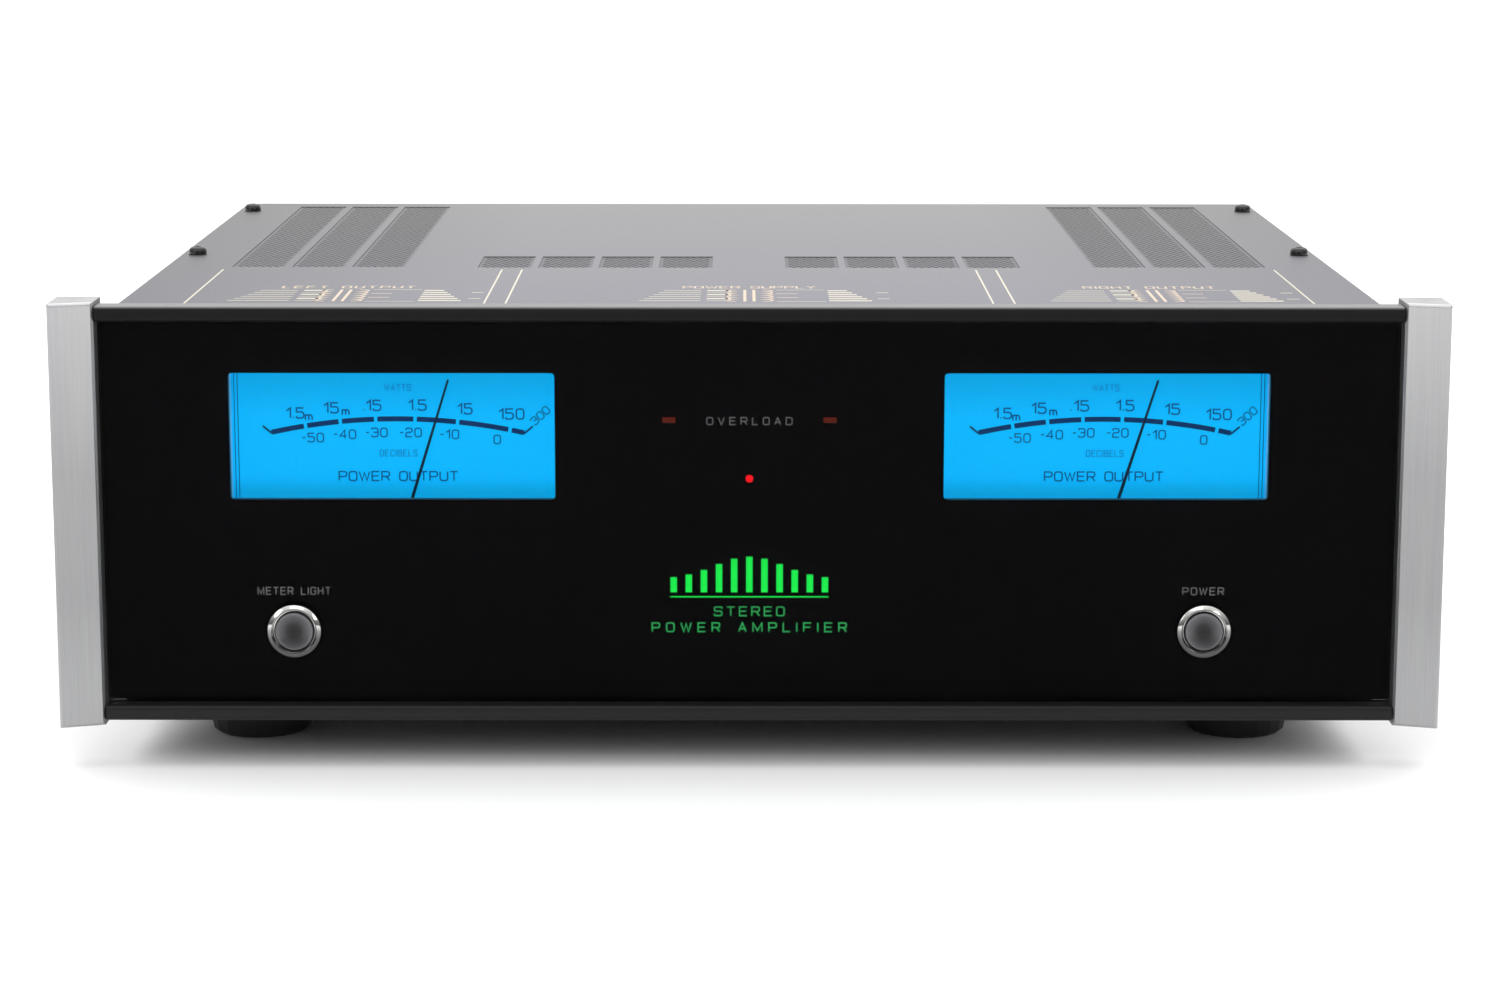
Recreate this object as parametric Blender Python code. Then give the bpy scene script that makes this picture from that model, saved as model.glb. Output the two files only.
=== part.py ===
"""Stereo power amplifier with two needle meters behind a glass front.

Every piece is modelled in the frame of the empty "front_datum": X to the
right, Y back from the foremost edge of the end caps, Z up from the lower end
of the end caps. The empty then places the amplifier on the ground, centred.
"""

import math

import bmesh
import bpy
from mathutils import Vector

MM = 0.001
GAP = 0.3 * MM  # between pieces that touch

# Whole amplifier
WIDTH = 444.5 * MM
HEIGHT = 152.4 * MM
DEPTH = 368.0 * MM
FOOT_HEIGHT = 14.4 * MM
PANEL_HEIGHT = HEIGHT - FOOT_HEIGHT

# Front frame: two end caps with a rail above and below the glass
CAP_WIDTH = 13.95 * MM
CAP_DEPTH = 19.0 * MM
CAP_SLANT = 4.5 * MM
CAP_CHAMFER = 0.8 * MM
CAP_TIP = 0.25 * MM  # what the chamfer takes off the foremost edge
RAIL_BACK = 15.0 * MM
RAIL_HEIGHT = 5.0 * MM
RAIL_INSET = 1.5 * MM
RAIL_ROUND = 1.5 * MM
GLASS_FRONT = 10.0 * MM
GLASS_THICKNESS = 3.0 * MM
CARRIER_THICKNESS = 3.0 * MM

# Meters
METER_X = 114.9 * MM
WINDOW_WIDTH = 104.6 * MM
WINDOW_LOW = 72.9 * MM
WINDOW_HIGH = 114.1 * MM
HOUSING_WALL = 1.5 * MM
HOUSING_LOW = 44.5 * MM
HOUSING_HIGH = 118.0 * MM
HOUSING_DEPTH = 27.0 * MM
DIAL_FRONT = 26.5 * MM
DIAL_THICKNESS = 3.0 * MM
DIAL_LOW = 66.0 * MM
PIVOT_Z = 54.5 * MM
NEEDLE_LENGTH = 58.5 * MM
NEEDLE_FRONT = 23.4 * MM
NEEDLE_REST_TILT = math.radians(17.3)

# Front controls and lamps
BUTTON_X = 147.1 * MM
BUTTON_Z = 30.4 * MM
BUTTON_RADIUS = 6.15 * MM
BUTTON_TRAVEL = 2.5 * MM
BEZEL_RADIUS = 8.75 * MM
BEZEL_BARREL_RADIUS = 7.3 * MM
GUARD_X = 25.9 * MM
GUARD_Z = 98.9 * MM
STATUS_Z = 79.8 * MM
BADGE_WIDTH = 76.0 * MM
BADGE_LOW = 26.0 * MM
BADGE_HIGH = 58.0 * MM
BOARD_FRONT = 33.0 * MM

# Chassis and cover
SHEET = 1.5 * MM
TRAY_HALF = 203.5 * MM
TRAY_LOW = 1.5 * MM
TRAY_HIGH = 132.7 * MM
TRAY_BACK = 343.8 * MM
FLANGE_WIDTH = 14.0 * MM
COVER_HALF = 205.5 * MM
COVER_TOP = 134.5 * MM
COVER_BACK = 346.7 * MM
COVER_LIP = 16.0 * MM
COVER_CORNER = 4.0 * MM
COVER_SCREW_X = 198.6 * MM
COVER_SCREW_Y = {"front": 165.5 * MM, "rear": 315.7 * MM}
VENT_RECESS = 0.4 * MM
LONG_VENT_X = (130.0 * MM, 151.0 * MM, 172.0 * MM)
LONG_VENT_SIZE = (18.2 * MM, 205.0 * MM)
LONG_VENT_Y = 230.3 * MM
SHORT_VENT_X = (22.2 * MM, 43.3 * MM, 64.5 * MM, 85.7 * MM)
SHORT_VENT_SIZE = (18.5 * MM, 34.0 * MM)
SHORT_VENT_Y = 143.3 * MM

# Feet
FOOT_X = 165.0 * MM
FOOT_Y = {"front": 60.0 * MM, "rear": 305.0 * MM}
FOOT_RADIUS = 19.0 * MM

# Rear panel and its connectors
PANEL_FRONT = 341.5 * MM
PANEL_THICKNESS = 2.0 * MM
PANEL_HALF = 201.5 * MM
PANEL_LOW = TRAY_LOW + SHEET + GAP
PANEL_HIGH = 130.8 * MM
XLR_X = 30.0 * MM
XLR_Z = 92.0 * MM
RCA_X = 14.0 * MM
RCA_Z = 42.0 * MM
SWITCH_Z = 66.0 * MM
JACK_X = -58.0 * MM
JACK_Z = (40.0 * MM, 60.0 * MM)
POST_BLOCK_X = 138.0 * MM
POST_Z = 88.0 * MM
POST_PITCH = 23.0 * MM
POST_NAMES = ("common", "2_ohm", "4_ohm", "8_ohm")
POST_STUD_RADIUS = 3.1 * MM
NUT_RADIUS = 7.6 * MM
NUT_LENGTH = 16.0 * MM
INLET_X = 140.0 * MM
INLET_Z = 34.0 * MM
FUSE_X = 98.0 * MM

# Inside
TRANSFORMER_Y = 81.0 * MM
AUTOFORMER_X = 134.0 * MM
HEATSINK_INNER_X = 121.0 * MM
HEATSINK_OUTER_X = 181.0 * MM
HEATSINK_Y = 131.0 * MM
HEATSINK_LENGTH = 184.0 * MM
HEATSINK_HIGH = 118.0 * MM
FIN_COUNT = 20
FIN_THICKNESS = 2.6 * MM
BOARD_THICKNESS = 1.6 * MM
AMP_BOARD_X = 100.0 * MM
TRANSISTOR_Y = tuple(y * MM for y in (158, 202, 246, 290))
INPUT_BOARD_Y = 318.0 * MM
SUPPLY_Y = 240.0 * MM
SUPPLY_TOP = 14.0 * MM

PANEL_BACK = PANEL_FRONT + PANEL_THICKNESS
GLASS_BACK = GLASS_FRONT + GLASS_THICKNESS
CARRIER_FRONT = GLASS_BACK + GAP
CARRIER_BACK = CARRIER_FRONT + CARRIER_THICKNESS
INNER_HALF = WIDTH / 2 - CAP_WIDTH - GAP
FLOOR_TOP = TRAY_LOW + SHEET
SIDES = {"left": -1, "right": 1}

LOOKS = {
    "brushed_aluminium": ((0.66, 0.66, 0.67), 0.35, 1.0),
    "black_anodised": ((0.035, 0.032, 0.030), 0.45, 0.6),
    "black_glass": ((0.004, 0.003, 0.004), 0.08, 0.0),
    "black_plastic": ((0.012, 0.012, 0.012), 0.5, 0.0),
    "blue_dial": ((0.0, 0.42, 0.90), 0.6, 0.0),
    "needle_black": ((0.01, 0.01, 0.02), 0.5, 0.0),
    "amber_lens": ((0.10, 0.03, 0.02), 0.3, 0.0),
    "red_lens": ((0.85, 0.02, 0.02), 0.3, 0.0),
    "green_panel": ((0.05, 0.60, 0.15), 0.5, 0.0),
    "chrome": ((0.75, 0.75, 0.76), 0.12, 1.0),
    "satin_button": ((0.22, 0.23, 0.25), 0.35, 0.8),
    "titanium_paint": ((0.34, 0.34, 0.35), 0.5, 0.2),
    "black_steel": ((0.02, 0.02, 0.022), 0.5, 0.3),
    "zinc_steel": ((0.45, 0.46, 0.47), 0.4, 1.0),
    "rubber": ((0.015, 0.015, 0.015), 0.8, 0.0),
    "gold": ((0.83, 0.60, 0.22), 0.25, 1.0),
    "circuit_board": ((0.02, 0.14, 0.06), 0.5, 0.0),
    "core_steel": ((0.10, 0.10, 0.11), 0.5, 0.7),
    "black_heatsink": ((0.03, 0.03, 0.03), 0.45, 0.6),
}


# ---------------------------------------------------------------- helpers


def clear_scene():
    for obj in list(bpy.data.objects):
        bpy.data.objects.remove(obj)


def look(name):
    """The material of that name, a Principled BSDF."""
    found = bpy.data.materials.get(name)
    if found:
        return found
    colour, roughness, metallic = LOOKS[name]
    made = bpy.data.materials.new(name)
    made.use_nodes = True
    shader = made.node_tree.nodes["Principled BSDF"]
    shader.inputs["Base Color"].default_value = (*colour, 1.0)
    shader.inputs["Roughness"].default_value = roughness
    shader.inputs["Metallic"].default_value = metallic
    made.diffuse_color = (*colour, 1.0)
    return made


def add_object(name, bm, material, at=(0, 0, 0), tilt=0.0, smooth=False):
    """Closes the bmesh into an object under the datum, turned by tilt about Y."""
    bmesh.ops.recalc_face_normals(bm, faces=bm.faces)
    mesh = bpy.data.meshes.new(name)
    bm.to_mesh(mesh)
    bm.free()
    if smooth:
        mesh.shade_smooth()
        mesh.set_sharp_from_angle(angle=math.radians(35))
    return place(name, mesh, material, at, tilt)


def place(name, mesh, material, at=(0, 0, 0), tilt=0.0):
    """An object of that mesh under the datum. Copies may share the mesh."""
    obj = bpy.data.objects.new(name, mesh)
    bpy.context.scene.collection.objects.link(obj)
    if not mesh.materials:
        mesh.materials.append(look(material))
    obj.parent = bpy.data.objects["front_datum"]
    obj.location = at
    obj.rotation_euler = (0, tilt, 0)
    return obj


def prism(bm, outline, axis, low, high):
    """Extrudes a 2-D outline along an axis: (y, z), (x, z) or (x, y) points."""
    index = "XYZ".index(axis)
    flat = [list(point) for point in outline]
    corners = [point[:index] + [low] + point[index:] for point in flat]
    face = bm.faces.new([bm.verts.new(corner) for corner in corners])
    move = Vector((0, 0, 0))
    move[index] = high - low
    swept = bmesh.ops.extrude_face_region(bm, geom=[face])["geom"]
    moved = [item for item in swept if isinstance(item, bmesh.types.BMVert)]
    bmesh.ops.translate(bm, verts=moved, vec=move)


def block(bm, x, y, z):
    """A cuboid between three (low, high) pairs."""
    corners = [(x[0], y[0]), (x[1], y[0]), (x[1], y[1]), (x[0], y[1])]
    prism(bm, corners, "Z", z[0], z[1])


def turned(bm, profile, axis="Y", at=(0, 0, 0), segments=16, closed=False):
    """Spins (radius, along) points about an axis. Closed joins last to first."""
    radial = Vector((1, 0, 0))
    along = Vector((0, 1, 0)) if axis == "Y" else Vector((0, 0, 1))
    centre = Vector(at)
    verts = [bm.verts.new(centre + radial * r + along * t) for r, t in profile]
    pairs = list(zip(verts, verts[1:]))
    if closed:
        pairs.append((verts[-1], verts[0]))
    edges = [bm.edges.new(pair) for pair in pairs]
    bmesh.ops.spin(
        bm, geom=verts + edges, cent=centre, axis=along,
        angle=2 * math.pi, steps=segments, use_merge=True,
    )
    bmesh.ops.remove_doubles(bm, verts=bm.verts, dist=1e-6)


def disc(radius, low, high):
    """The profile of a plain cylinder for turned()."""
    return [(0, low), (radius, low), (radius, high), (0, high)]


def rounded_rectangle(width, height, radius, steps=4, centre=(0, 0)):
    points = []
    corners = ((1, 1, 0), (-1, 1, 90), (-1, -1, 180), (1, -1, 270))
    for sx, sy, start in corners:
        cx = centre[0] + sx * (width / 2 - radius)
        cy = centre[1] + sy * (height / 2 - radius)
        for step in range(steps + 1):
            angle = math.radians(start + 90 * step / steps)
            points.append((cx + radius * math.cos(angle), cy + radius * math.sin(angle)))
    return points


def boolean(target, tool_bm, operation="DIFFERENCE"):
    """Cuts or joins a helper solid, given in the datum's frame."""
    bmesh.ops.recalc_face_normals(tool_bm, faces=tool_bm.faces)
    mesh = bpy.data.meshes.new(target.name + "_tool")
    tool_bm.to_mesh(mesh)
    tool_bm.free()
    tool = place(mesh.name, mesh, "black_plastic")
    tool.hide_render = True
    tool.display_type = "WIRE"
    modifier = target.modifiers.new(operation.title(), "BOOLEAN")
    modifier.operation = operation
    modifier.solver = "EXACT"
    modifier.object = tool


# ------------------------------------------------------------ front frame


def add_end_caps():
    """Aluminium extrusions whose faces slope back towards the glass."""
    inner = WIDTH / 2 - CAP_WIDTH
    outer = WIDTH / 2
    cut = CAP_CHAMFER
    for side, sign in SIDES.items():
        bm = bmesh.new()
        outline = [
            (sign * inner, CAP_SLANT),
            (sign * outer, 0),
            (sign * outer, CAP_DEPTH),
            (sign * inner, CAP_DEPTH),
        ]
        prism(bm, outline, "Z", 0, PANEL_HEIGHT)
        bmesh.ops.recalc_face_normals(bm, faces=bm.faces)
        front = [face for face in bm.faces if face.normal.y < -0.5]
        edges = [edge for face in front for edge in face.edges]
        bmesh.ops.bevel(bm, geom=edges, offset=cut, segments=1, affect="EDGES")
        add_object(f"end_cap_{side}", bm, "brushed_aluminium")


def add_rails():
    """Two anodised strips that hold the glass by its long edges."""
    lows = {"bottom": RAIL_INSET, "top": PANEL_HEIGHT - RAIL_INSET - RAIL_HEIGHT}
    for name, low in lows.items():
        bm = bmesh.new()
        depth = RAIL_BACK - CAP_SLANT
        centre = (CAP_SLANT + depth / 2, low + RAIL_HEIGHT / 2)
        outline = rounded_rectangle(depth, RAIL_HEIGHT, RAIL_ROUND, 3, centre)
        prism(bm, outline, "X", -INNER_HALF, INNER_HALF)
        add_object(f"rail_{name}", bm, "black_anodised", smooth=True)


def button_holes(radius, y):
    bm = bmesh.new()
    for sign in SIDES.values():
        centre = (sign * BUTTON_X, 0, BUTTON_Z)
        turned(bm, disc(radius, *y), at=centre, segments=24)
    return bm


def add_glass():
    low = RAIL_INSET + RAIL_HEIGHT + GAP
    high = PANEL_HEIGHT - low
    bm = bmesh.new()
    block(bm, (-INNER_HALF, INNER_HALF), (GLASS_FRONT, GLASS_BACK), (low, high))
    glass = add_object("front_glass", bm, "black_glass")
    boolean(glass, button_holes(BEZEL_BARREL_RADIUS + GAP, (0, RAIL_BACK)))


def add_carrier():
    """The stiff plate behind the glass, with a window for all that shows through."""
    reach = (CARRIER_FRONT - MM, CARRIER_BACK + MM)
    low = RAIL_INSET + RAIL_HEIGHT + GAP
    high = PANEL_HEIGHT - low
    bm = bmesh.new()
    block(bm, (-INNER_HALF, INNER_HALF), (RAIL_BACK + GAP, CARRIER_BACK), (low, high))
    carrier = add_object("front_carrier", bm, "black_plastic")
    raised = bmesh.new()
    block(raised, (-INNER_HALF + MM, INNER_HALF - MM), (CARRIER_FRONT, CARRIER_BACK - MM),
          (low + MM, high - MM))
    boolean(carrier, raised, "UNION")
    windows = bmesh.new()
    for sign in SIDES.values():
        half = WINDOW_WIDTH / 2
        block(windows, (sign * METER_X - half, sign * METER_X + half), reach,
              (WINDOW_LOW, WINDOW_HIGH))
        block(windows, (sign * GUARD_X - 2.6 * MM, sign * GUARD_X + 2.6 * MM), reach,
              (GUARD_Z - 1.4 * MM, GUARD_Z + 1.4 * MM))
    block(windows, (-BADGE_WIDTH / 2 - GAP, BADGE_WIDTH / 2 + GAP), reach,
          (BADGE_LOW - GAP, BADGE_HIGH + GAP))
    turned(windows, disc(1.8 * MM, *reach), at=(0, 0, STATUS_Z), segments=12)
    boolean(carrier, windows)
    boolean(carrier, button_holes(BEZEL_BARREL_RADIUS + GAP, reach))


# ----------------------------------------------------------------- meters


def add_meter(side, sign):
    """Housing, lit dial, moving-coil movement and needle of one channel."""
    x = sign * METER_X
    half = WINDOW_WIDTH / 2 + 2.7 * MM
    front = CARRIER_BACK + GAP
    back = front + HOUSING_DEPTH
    inner = half - HOUSING_WALL

    bm = bmesh.new()
    block(bm, (-half, half), (front, back), (HOUSING_LOW, HOUSING_HIGH))
    housing = add_object(f"meter_housing_{side}", bm, "black_plastic", at=(x, 0, 0))
    hollow = bmesh.new()
    block(hollow, (x - inner, x + inner), (front - MM, back - HOUSING_WALL),
          (HOUSING_LOW + HOUSING_WALL, HOUSING_HIGH - HOUSING_WALL))
    boolean(housing, hollow)

    bm = bmesh.new()
    block(bm, (-inner + GAP, inner - GAP), (DIAL_FRONT, DIAL_FRONT + DIAL_THICKNESS),
          (DIAL_LOW, HOUSING_HIGH - HOUSING_WALL - GAP))
    add_object(f"meter_dial_{side}", bm, "blue_dial", at=(x, 0, 0))

    add_movement(side, x, back - HOUSING_WALL - GAP)
    add_needle(side, x)


def add_movement(side, x, back):
    """Magnet yoke and coil frame, bored for the needle's shaft."""
    front = DIAL_FRONT + DIAL_THICKNESS + GAP
    bm = bmesh.new()
    turned(bm, disc(8.0 * MM, front, back))
    movement = add_object(f"meter_movement_{side}", bm, "zinc_steel",
                          at=(x, 0, PIVOT_Z), smooth=True)
    yoke = bmesh.new()
    block(yoke, (x - 17 * MM, x + 17 * MM), (front + 3 * MM, back - 2 * MM),
          (PIVOT_Z - 5 * MM, PIVOT_Z + 5 * MM))
    boolean(movement, yoke, "UNION")
    bore = bmesh.new()
    turned(bore, disc(1.3 * MM, front - MM, front + 6 * MM), at=(x, 0, PIVOT_Z), segments=10)
    boolean(movement, bore)


def add_needle(side, x):
    """A flat pointer with a counterweight tail on a short shaft."""
    tip, root, tail = 0.33 * MM, 0.6 * MM, 7.6 * MM
    weight = 1.8 * MM
    bm = bmesh.new()
    outline = [
        (-tip, NEEDLE_LENGTH), (-root, 0), (-root, -tail + 3 * MM), (-weight, -tail + 3 * MM),
        (-weight, -tail), (weight, -tail), (weight, -tail + 3 * MM), (root, -tail + 3 * MM),
        (root, 0), (tip, NEEDLE_LENGTH),
    ]
    prism(bm, outline, "Y", 0, 0.5 * MM)
    needle = add_object(f"meter_needle_{side}", bm, "needle_black",
                        at=(x, NEEDLE_FRONT, PIVOT_Z), tilt=NEEDLE_REST_TILT)
    hub = bmesh.new()
    profile = [(0, -0.6 * MM), (2.4 * MM, -0.6 * MM), (2.4 * MM, 1.4 * MM),
               (MM, 1.4 * MM), (MM, 11.0 * MM), (0, 11.0 * MM)]
    turned(hub, profile, at=(x, NEEDLE_FRONT, PIVOT_Z), segments=10)
    boolean(needle, hub, "UNION")


# --------------------------------------------------- front controls, lamps


def add_button(name, sign):
    """A sprung cap in a stepped chrome bezel."""
    at = (sign * BUTTON_X, GLASS_FRONT, BUTTON_Z)
    bore = BUTTON_RADIUS + GAP
    bm = bmesh.new()
    profile = [
        (bore, -1.6 * MM), (bore + 0.5 * MM, -1.9 * MM), (bore + 0.9 * MM, -1.9 * MM),
        (BEZEL_RADIUS - 1.2 * MM, -2.6 * MM), (BEZEL_RADIUS - 0.4 * MM, -2.5 * MM),
        (BEZEL_RADIUS, -1.9 * MM), (BEZEL_RADIUS, -GAP), (BEZEL_BARREL_RADIUS, -GAP),
        (BEZEL_BARREL_RADIUS, 11.0 * MM), (bore, 11.0 * MM),
    ]
    turned(bm, profile, segments=24, closed=True)
    add_object(f"{name}_bezel", bm, "chrome", at=at, smooth=True)

    stem, end = 2.0 * MM, BOARD_FRONT - 4 * MM - GAP - BUTTON_TRAVEL - GLASS_FRONT
    bm = bmesh.new()
    profile = [
        (0, -1.9 * MM), (BUTTON_RADIUS * 0.55, -2.05 * MM), (BUTTON_RADIUS - 0.7 * MM, -2.4 * MM),
        (BUTTON_RADIUS - 0.2 * MM, -2.3 * MM), (BUTTON_RADIUS, -1.9 * MM),
        (BUTTON_RADIUS, 6.0 * MM), (stem, 6.0 * MM), (stem, end), (0, end),
    ]
    turned(bm, profile, segments=20)
    add_object(f"{name}_button", bm, "satin_button", at=at, smooth=True)


def add_lamps():
    """Light pipes from the lamp board to the glass, and the lit badge panel."""
    front, back = CARRIER_FRONT, BOARD_FRONT - GAP
    for side, sign in SIDES.items():
        bm = bmesh.new()
        block(bm, (-2.1 * MM, 2.1 * MM), (front, back), (-0.9 * MM, 0.9 * MM))
        add_object(f"guard_led_{side}", bm, "amber_lens", at=(sign * GUARD_X, 0, GUARD_Z))
    bm = bmesh.new()
    turned(bm, disc(1.3 * MM, front, back), segments=12)
    add_object("status_led", bm, "red_lens", at=(0, 0, STATUS_Z), smooth=True)
    bm = bmesh.new()
    half = BADGE_WIDTH / 2
    block(bm, (-half, half), (front, front + 5 * MM), (BADGE_LOW, BADGE_HIGH))
    add_object("badge_light_panel", bm, "green_panel")


def add_front_board():
    """A T-shaped lamp and switch board, with its switches soldered on."""
    low, shoulder, high = 18 * MM, 42 * MM, 108 * MM
    arm, tower = 165 * MM, 45 * MM
    bm = bmesh.new()
    outline = [
        (-arm, low), (arm, low), (arm, shoulder), (tower, shoulder),
        (tower, high), (-tower, high), (-tower, shoulder), (-arm, shoulder),
    ]
    prism(bm, outline, "Y", BOARD_FRONT, BOARD_FRONT + BOARD_THICKNESS)
    board = add_object("front_board", bm, "circuit_board")
    parts = bmesh.new()
    sunk = BOARD_FRONT + 0.4 * MM
    for sign in SIDES.values():
        x = sign * BUTTON_X
        block(parts, (x - 4 * MM, x + 4 * MM), (BOARD_FRONT - 4 * MM, sunk),
              (BUTTON_Z - 4 * MM, BUTTON_Z + 4 * MM))
        block(parts, (sign * 30 * MM - 9 * MM, sign * 30 * MM + 9 * MM),
              (sunk, BOARD_FRONT + 9 * MM), (70 * MM, 76 * MM))
    block(parts, (-16 * MM, 16 * MM), (sunk, BOARD_FRONT + 3 * MM), (84 * MM, 96 * MM))
    boolean(board, parts, "UNION")


# -------------------------------------------------------- chassis and cover


def screw_places():
    """Where the four cover screws stand, by name."""
    return {
        f"{end}_{side}": (sign * COVER_SCREW_X, y)
        for end, y in COVER_SCREW_Y.items()
        for side, sign in SIDES.items()
    }


def screw_holes(radius, z):
    bm = bmesh.new()
    for x, y in screw_places().values():
        turned(bm, disc(radius, *z), "Z", at=(x, y, 0), segments=10)
    return bm


def add_tray():
    """One folded sheet: floor, two sides and the flanges that carry the cover."""
    outer, inner = TRAY_HALF, TRAY_HALF - SHEET
    flange = TRAY_HALF - FLANGE_WIDTH
    under = TRAY_HIGH - SHEET
    right = [
        (outer, TRAY_LOW), (outer, TRAY_HIGH), (flange, TRAY_HIGH),
        (flange, under), (inner, under), (inner, FLOOR_TOP),
    ]
    left = [(-x, z) for x, z in reversed(right)]
    bm = bmesh.new()
    prism(bm, right + left, "Y", CARRIER_BACK + GAP, TRAY_BACK)
    tray = add_object("chassis_tray", bm, "black_steel")
    boolean(tray, screw_holes(1.9 * MM, (under - MM, TRAY_HIGH + MM)))
    slots = bmesh.new()
    for sign in SIDES.values():
        for row in range(6):
            y = 140 * MM + row * 24 * MM
            x = sign * (HEATSINK_INNER_X + HEATSINK_OUTER_X) / 2
            block(slots, (x - 24 * MM, x + 24 * MM), (y, y + 5 * MM), (0, 2 * FLOOR_TOP))
    boolean(tray, slots)


def add_cover():
    """A lid with down-turned lips at its sides and rear, and fourteen vent fields."""
    front = CARRIER_BACK + GAP
    low = COVER_TOP - COVER_LIP
    length = COVER_BACK - front

    def outline(half, back, corner, ahead):
        points = [(half, front - ahead), (half, back - corner)]
        for step in range(1, 5):
            angle = math.radians(90 * step / 4)
            points.append((half - corner * (1 - math.cos(angle)),
                           back - corner * (1 - math.sin(angle))))
        return points + [(-x, y) for x, y in reversed(points)]

    bm = bmesh.new()
    prism(bm, outline(COVER_HALF, COVER_BACK, COVER_CORNER, 0), "Z", low, COVER_TOP)
    cover = add_object("top_cover", bm, "titanium_paint")
    hollow = bmesh.new()
    inner = outline(COVER_HALF - SHEET, COVER_BACK - SHEET, COVER_CORNER - SHEET, length)
    prism(hollow, inner, "Z", low - MM, COVER_TOP - SHEET)
    boolean(cover, hollow)
    fields = bmesh.new()
    groups = (
        (LONG_VENT_X, LONG_VENT_SIZE, LONG_VENT_Y),
        (SHORT_VENT_X, SHORT_VENT_SIZE, SHORT_VENT_Y),
    )
    for columns, (width, depth), middle in groups:
        for x in [sign * column for sign in SIDES.values() for column in columns]:
            block(fields, (x - width / 2, x + width / 2),
                  (middle - depth / 2, middle + depth / 2),
                  (COVER_TOP - VENT_RECESS, COVER_TOP + MM))
    boolean(cover, fields)
    boolean(cover, screw_holes(2.1 * MM, (COVER_TOP - 3 * MM, COVER_TOP + MM)))


def add_cover_screws():
    """Pan-head machine screws with a cross recess."""
    bm = bmesh.new()
    profile = [
        (0, 2.3 * MM), (1.6 * MM, 2.2 * MM), (2.7 * MM, 1.7 * MM), (3.3 * MM, 0.8 * MM),
        (3.3 * MM, GAP), (1.6 * MM, GAP), (1.6 * MM, -6.5 * MM), (0, -6.5 * MM),
    ]
    turned(bm, profile, "Z", segments=12)
    for name, (x, y) in screw_places().items():
        screw = add_object(f"cover_screw_{name}", bm.copy(), "black_steel",
                           at=(x, y, COVER_TOP), smooth=True)
        cross = bmesh.new()
        arm, slot = 1.7 * MM, 0.4 * MM
        quarter = [(arm, -slot), (arm, slot), (slot, slot)]
        outline = [(x + a, y + b) for a, b in quarter]
        outline += [(x - b, y + a) for a, b in quarter]
        outline += [(x - a, y - b) for a, b in quarter]
        outline += [(x + b, y - a) for a, b in quarter]
        prism(cross, outline, "Z", COVER_TOP + 1.2 * MM, COVER_TOP + 4 * MM)
        boolean(screw, cross)
    bm.free()


def add_feet():
    """Turned rubber feet with a recess for the fixing screw."""
    bm = bmesh.new()
    top = TRAY_LOW - GAP
    r = FOOT_RADIUS
    profile = [
        (0, -FOOT_HEIGHT + 6 * MM), (5 * MM, -FOOT_HEIGHT + 6 * MM), (5 * MM, -FOOT_HEIGHT),
        (r - 4 * MM, -FOOT_HEIGHT), (r - 2.6 * MM, -FOOT_HEIGHT + 1.2 * MM),
        (r, top - 2 * MM), (r, top), (0, top),
    ]
    turned(bm, profile, "Z", segments=20)
    bmesh.ops.recalc_face_normals(bm, faces=bm.faces)
    mesh = bpy.data.meshes.new("foot")
    bm.to_mesh(mesh)
    bm.free()
    mesh.shade_smooth()
    mesh.set_sharp_from_angle(angle=math.radians(35))
    for end, y in FOOT_Y.items():
        for side, sign in SIDES.items():
            place(f"foot_{end}_{side}", mesh, "rubber", at=(sign * FOOT_X, y, 0))


# ------------------------------------------------------ rear panel, sockets


def add_rear_panel():
    reach = (PANEL_FRONT - MM, PANEL_BACK + MM)
    bm = bmesh.new()
    block(bm, (-PANEL_HALF, PANEL_HALF), (PANEL_FRONT, PANEL_BACK), (PANEL_LOW, PANEL_HIGH))
    panel = add_object("rear_panel", bm, "black_steel")
    holes = bmesh.new()
    for sign in SIDES.values():
        turned(holes, disc(12.1 * MM, *reach), at=(sign * XLR_X, 0, XLR_Z), segments=20)
        turned(holes, disc(5.2 * MM, *reach), at=(sign * RCA_X, 0, RCA_Z), segments=12)
        for x in post_places(sign):
            turned(holes, disc(3.4 * MM, *reach), at=(x, 0, POST_Z), segments=10)
    for z in JACK_Z:
        turned(holes, disc(3.4 * MM, *reach), at=(JACK_X, 0, z), segments=10)
    turned(holes, disc(6.3 * MM, *reach), at=(FUSE_X, 0, INLET_Z), segments=12)
    block(holes, (-5.2 * MM, 5.2 * MM), reach, (SWITCH_Z - 2.2 * MM, SWITCH_Z + 2.2 * MM))
    prism(holes, inlet_outline(14.0 * MM, 10.4 * MM, 3 * MM), "Y", *reach)
    boolean(panel, holes)


def inlet_outline(half_width, half_height, cut):
    """The mains inlet's shape: a rectangle with its two upper corners cut off."""
    x, z = INLET_X, INLET_Z
    return [
        (x - half_width, z - half_height), (x + half_width, z - half_height),
        (x + half_width, z + half_height - cut), (x + half_width - cut, z + half_height),
        (x - half_width + cut, z + half_height), (x - half_width, z + half_height - cut),
    ]


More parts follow.
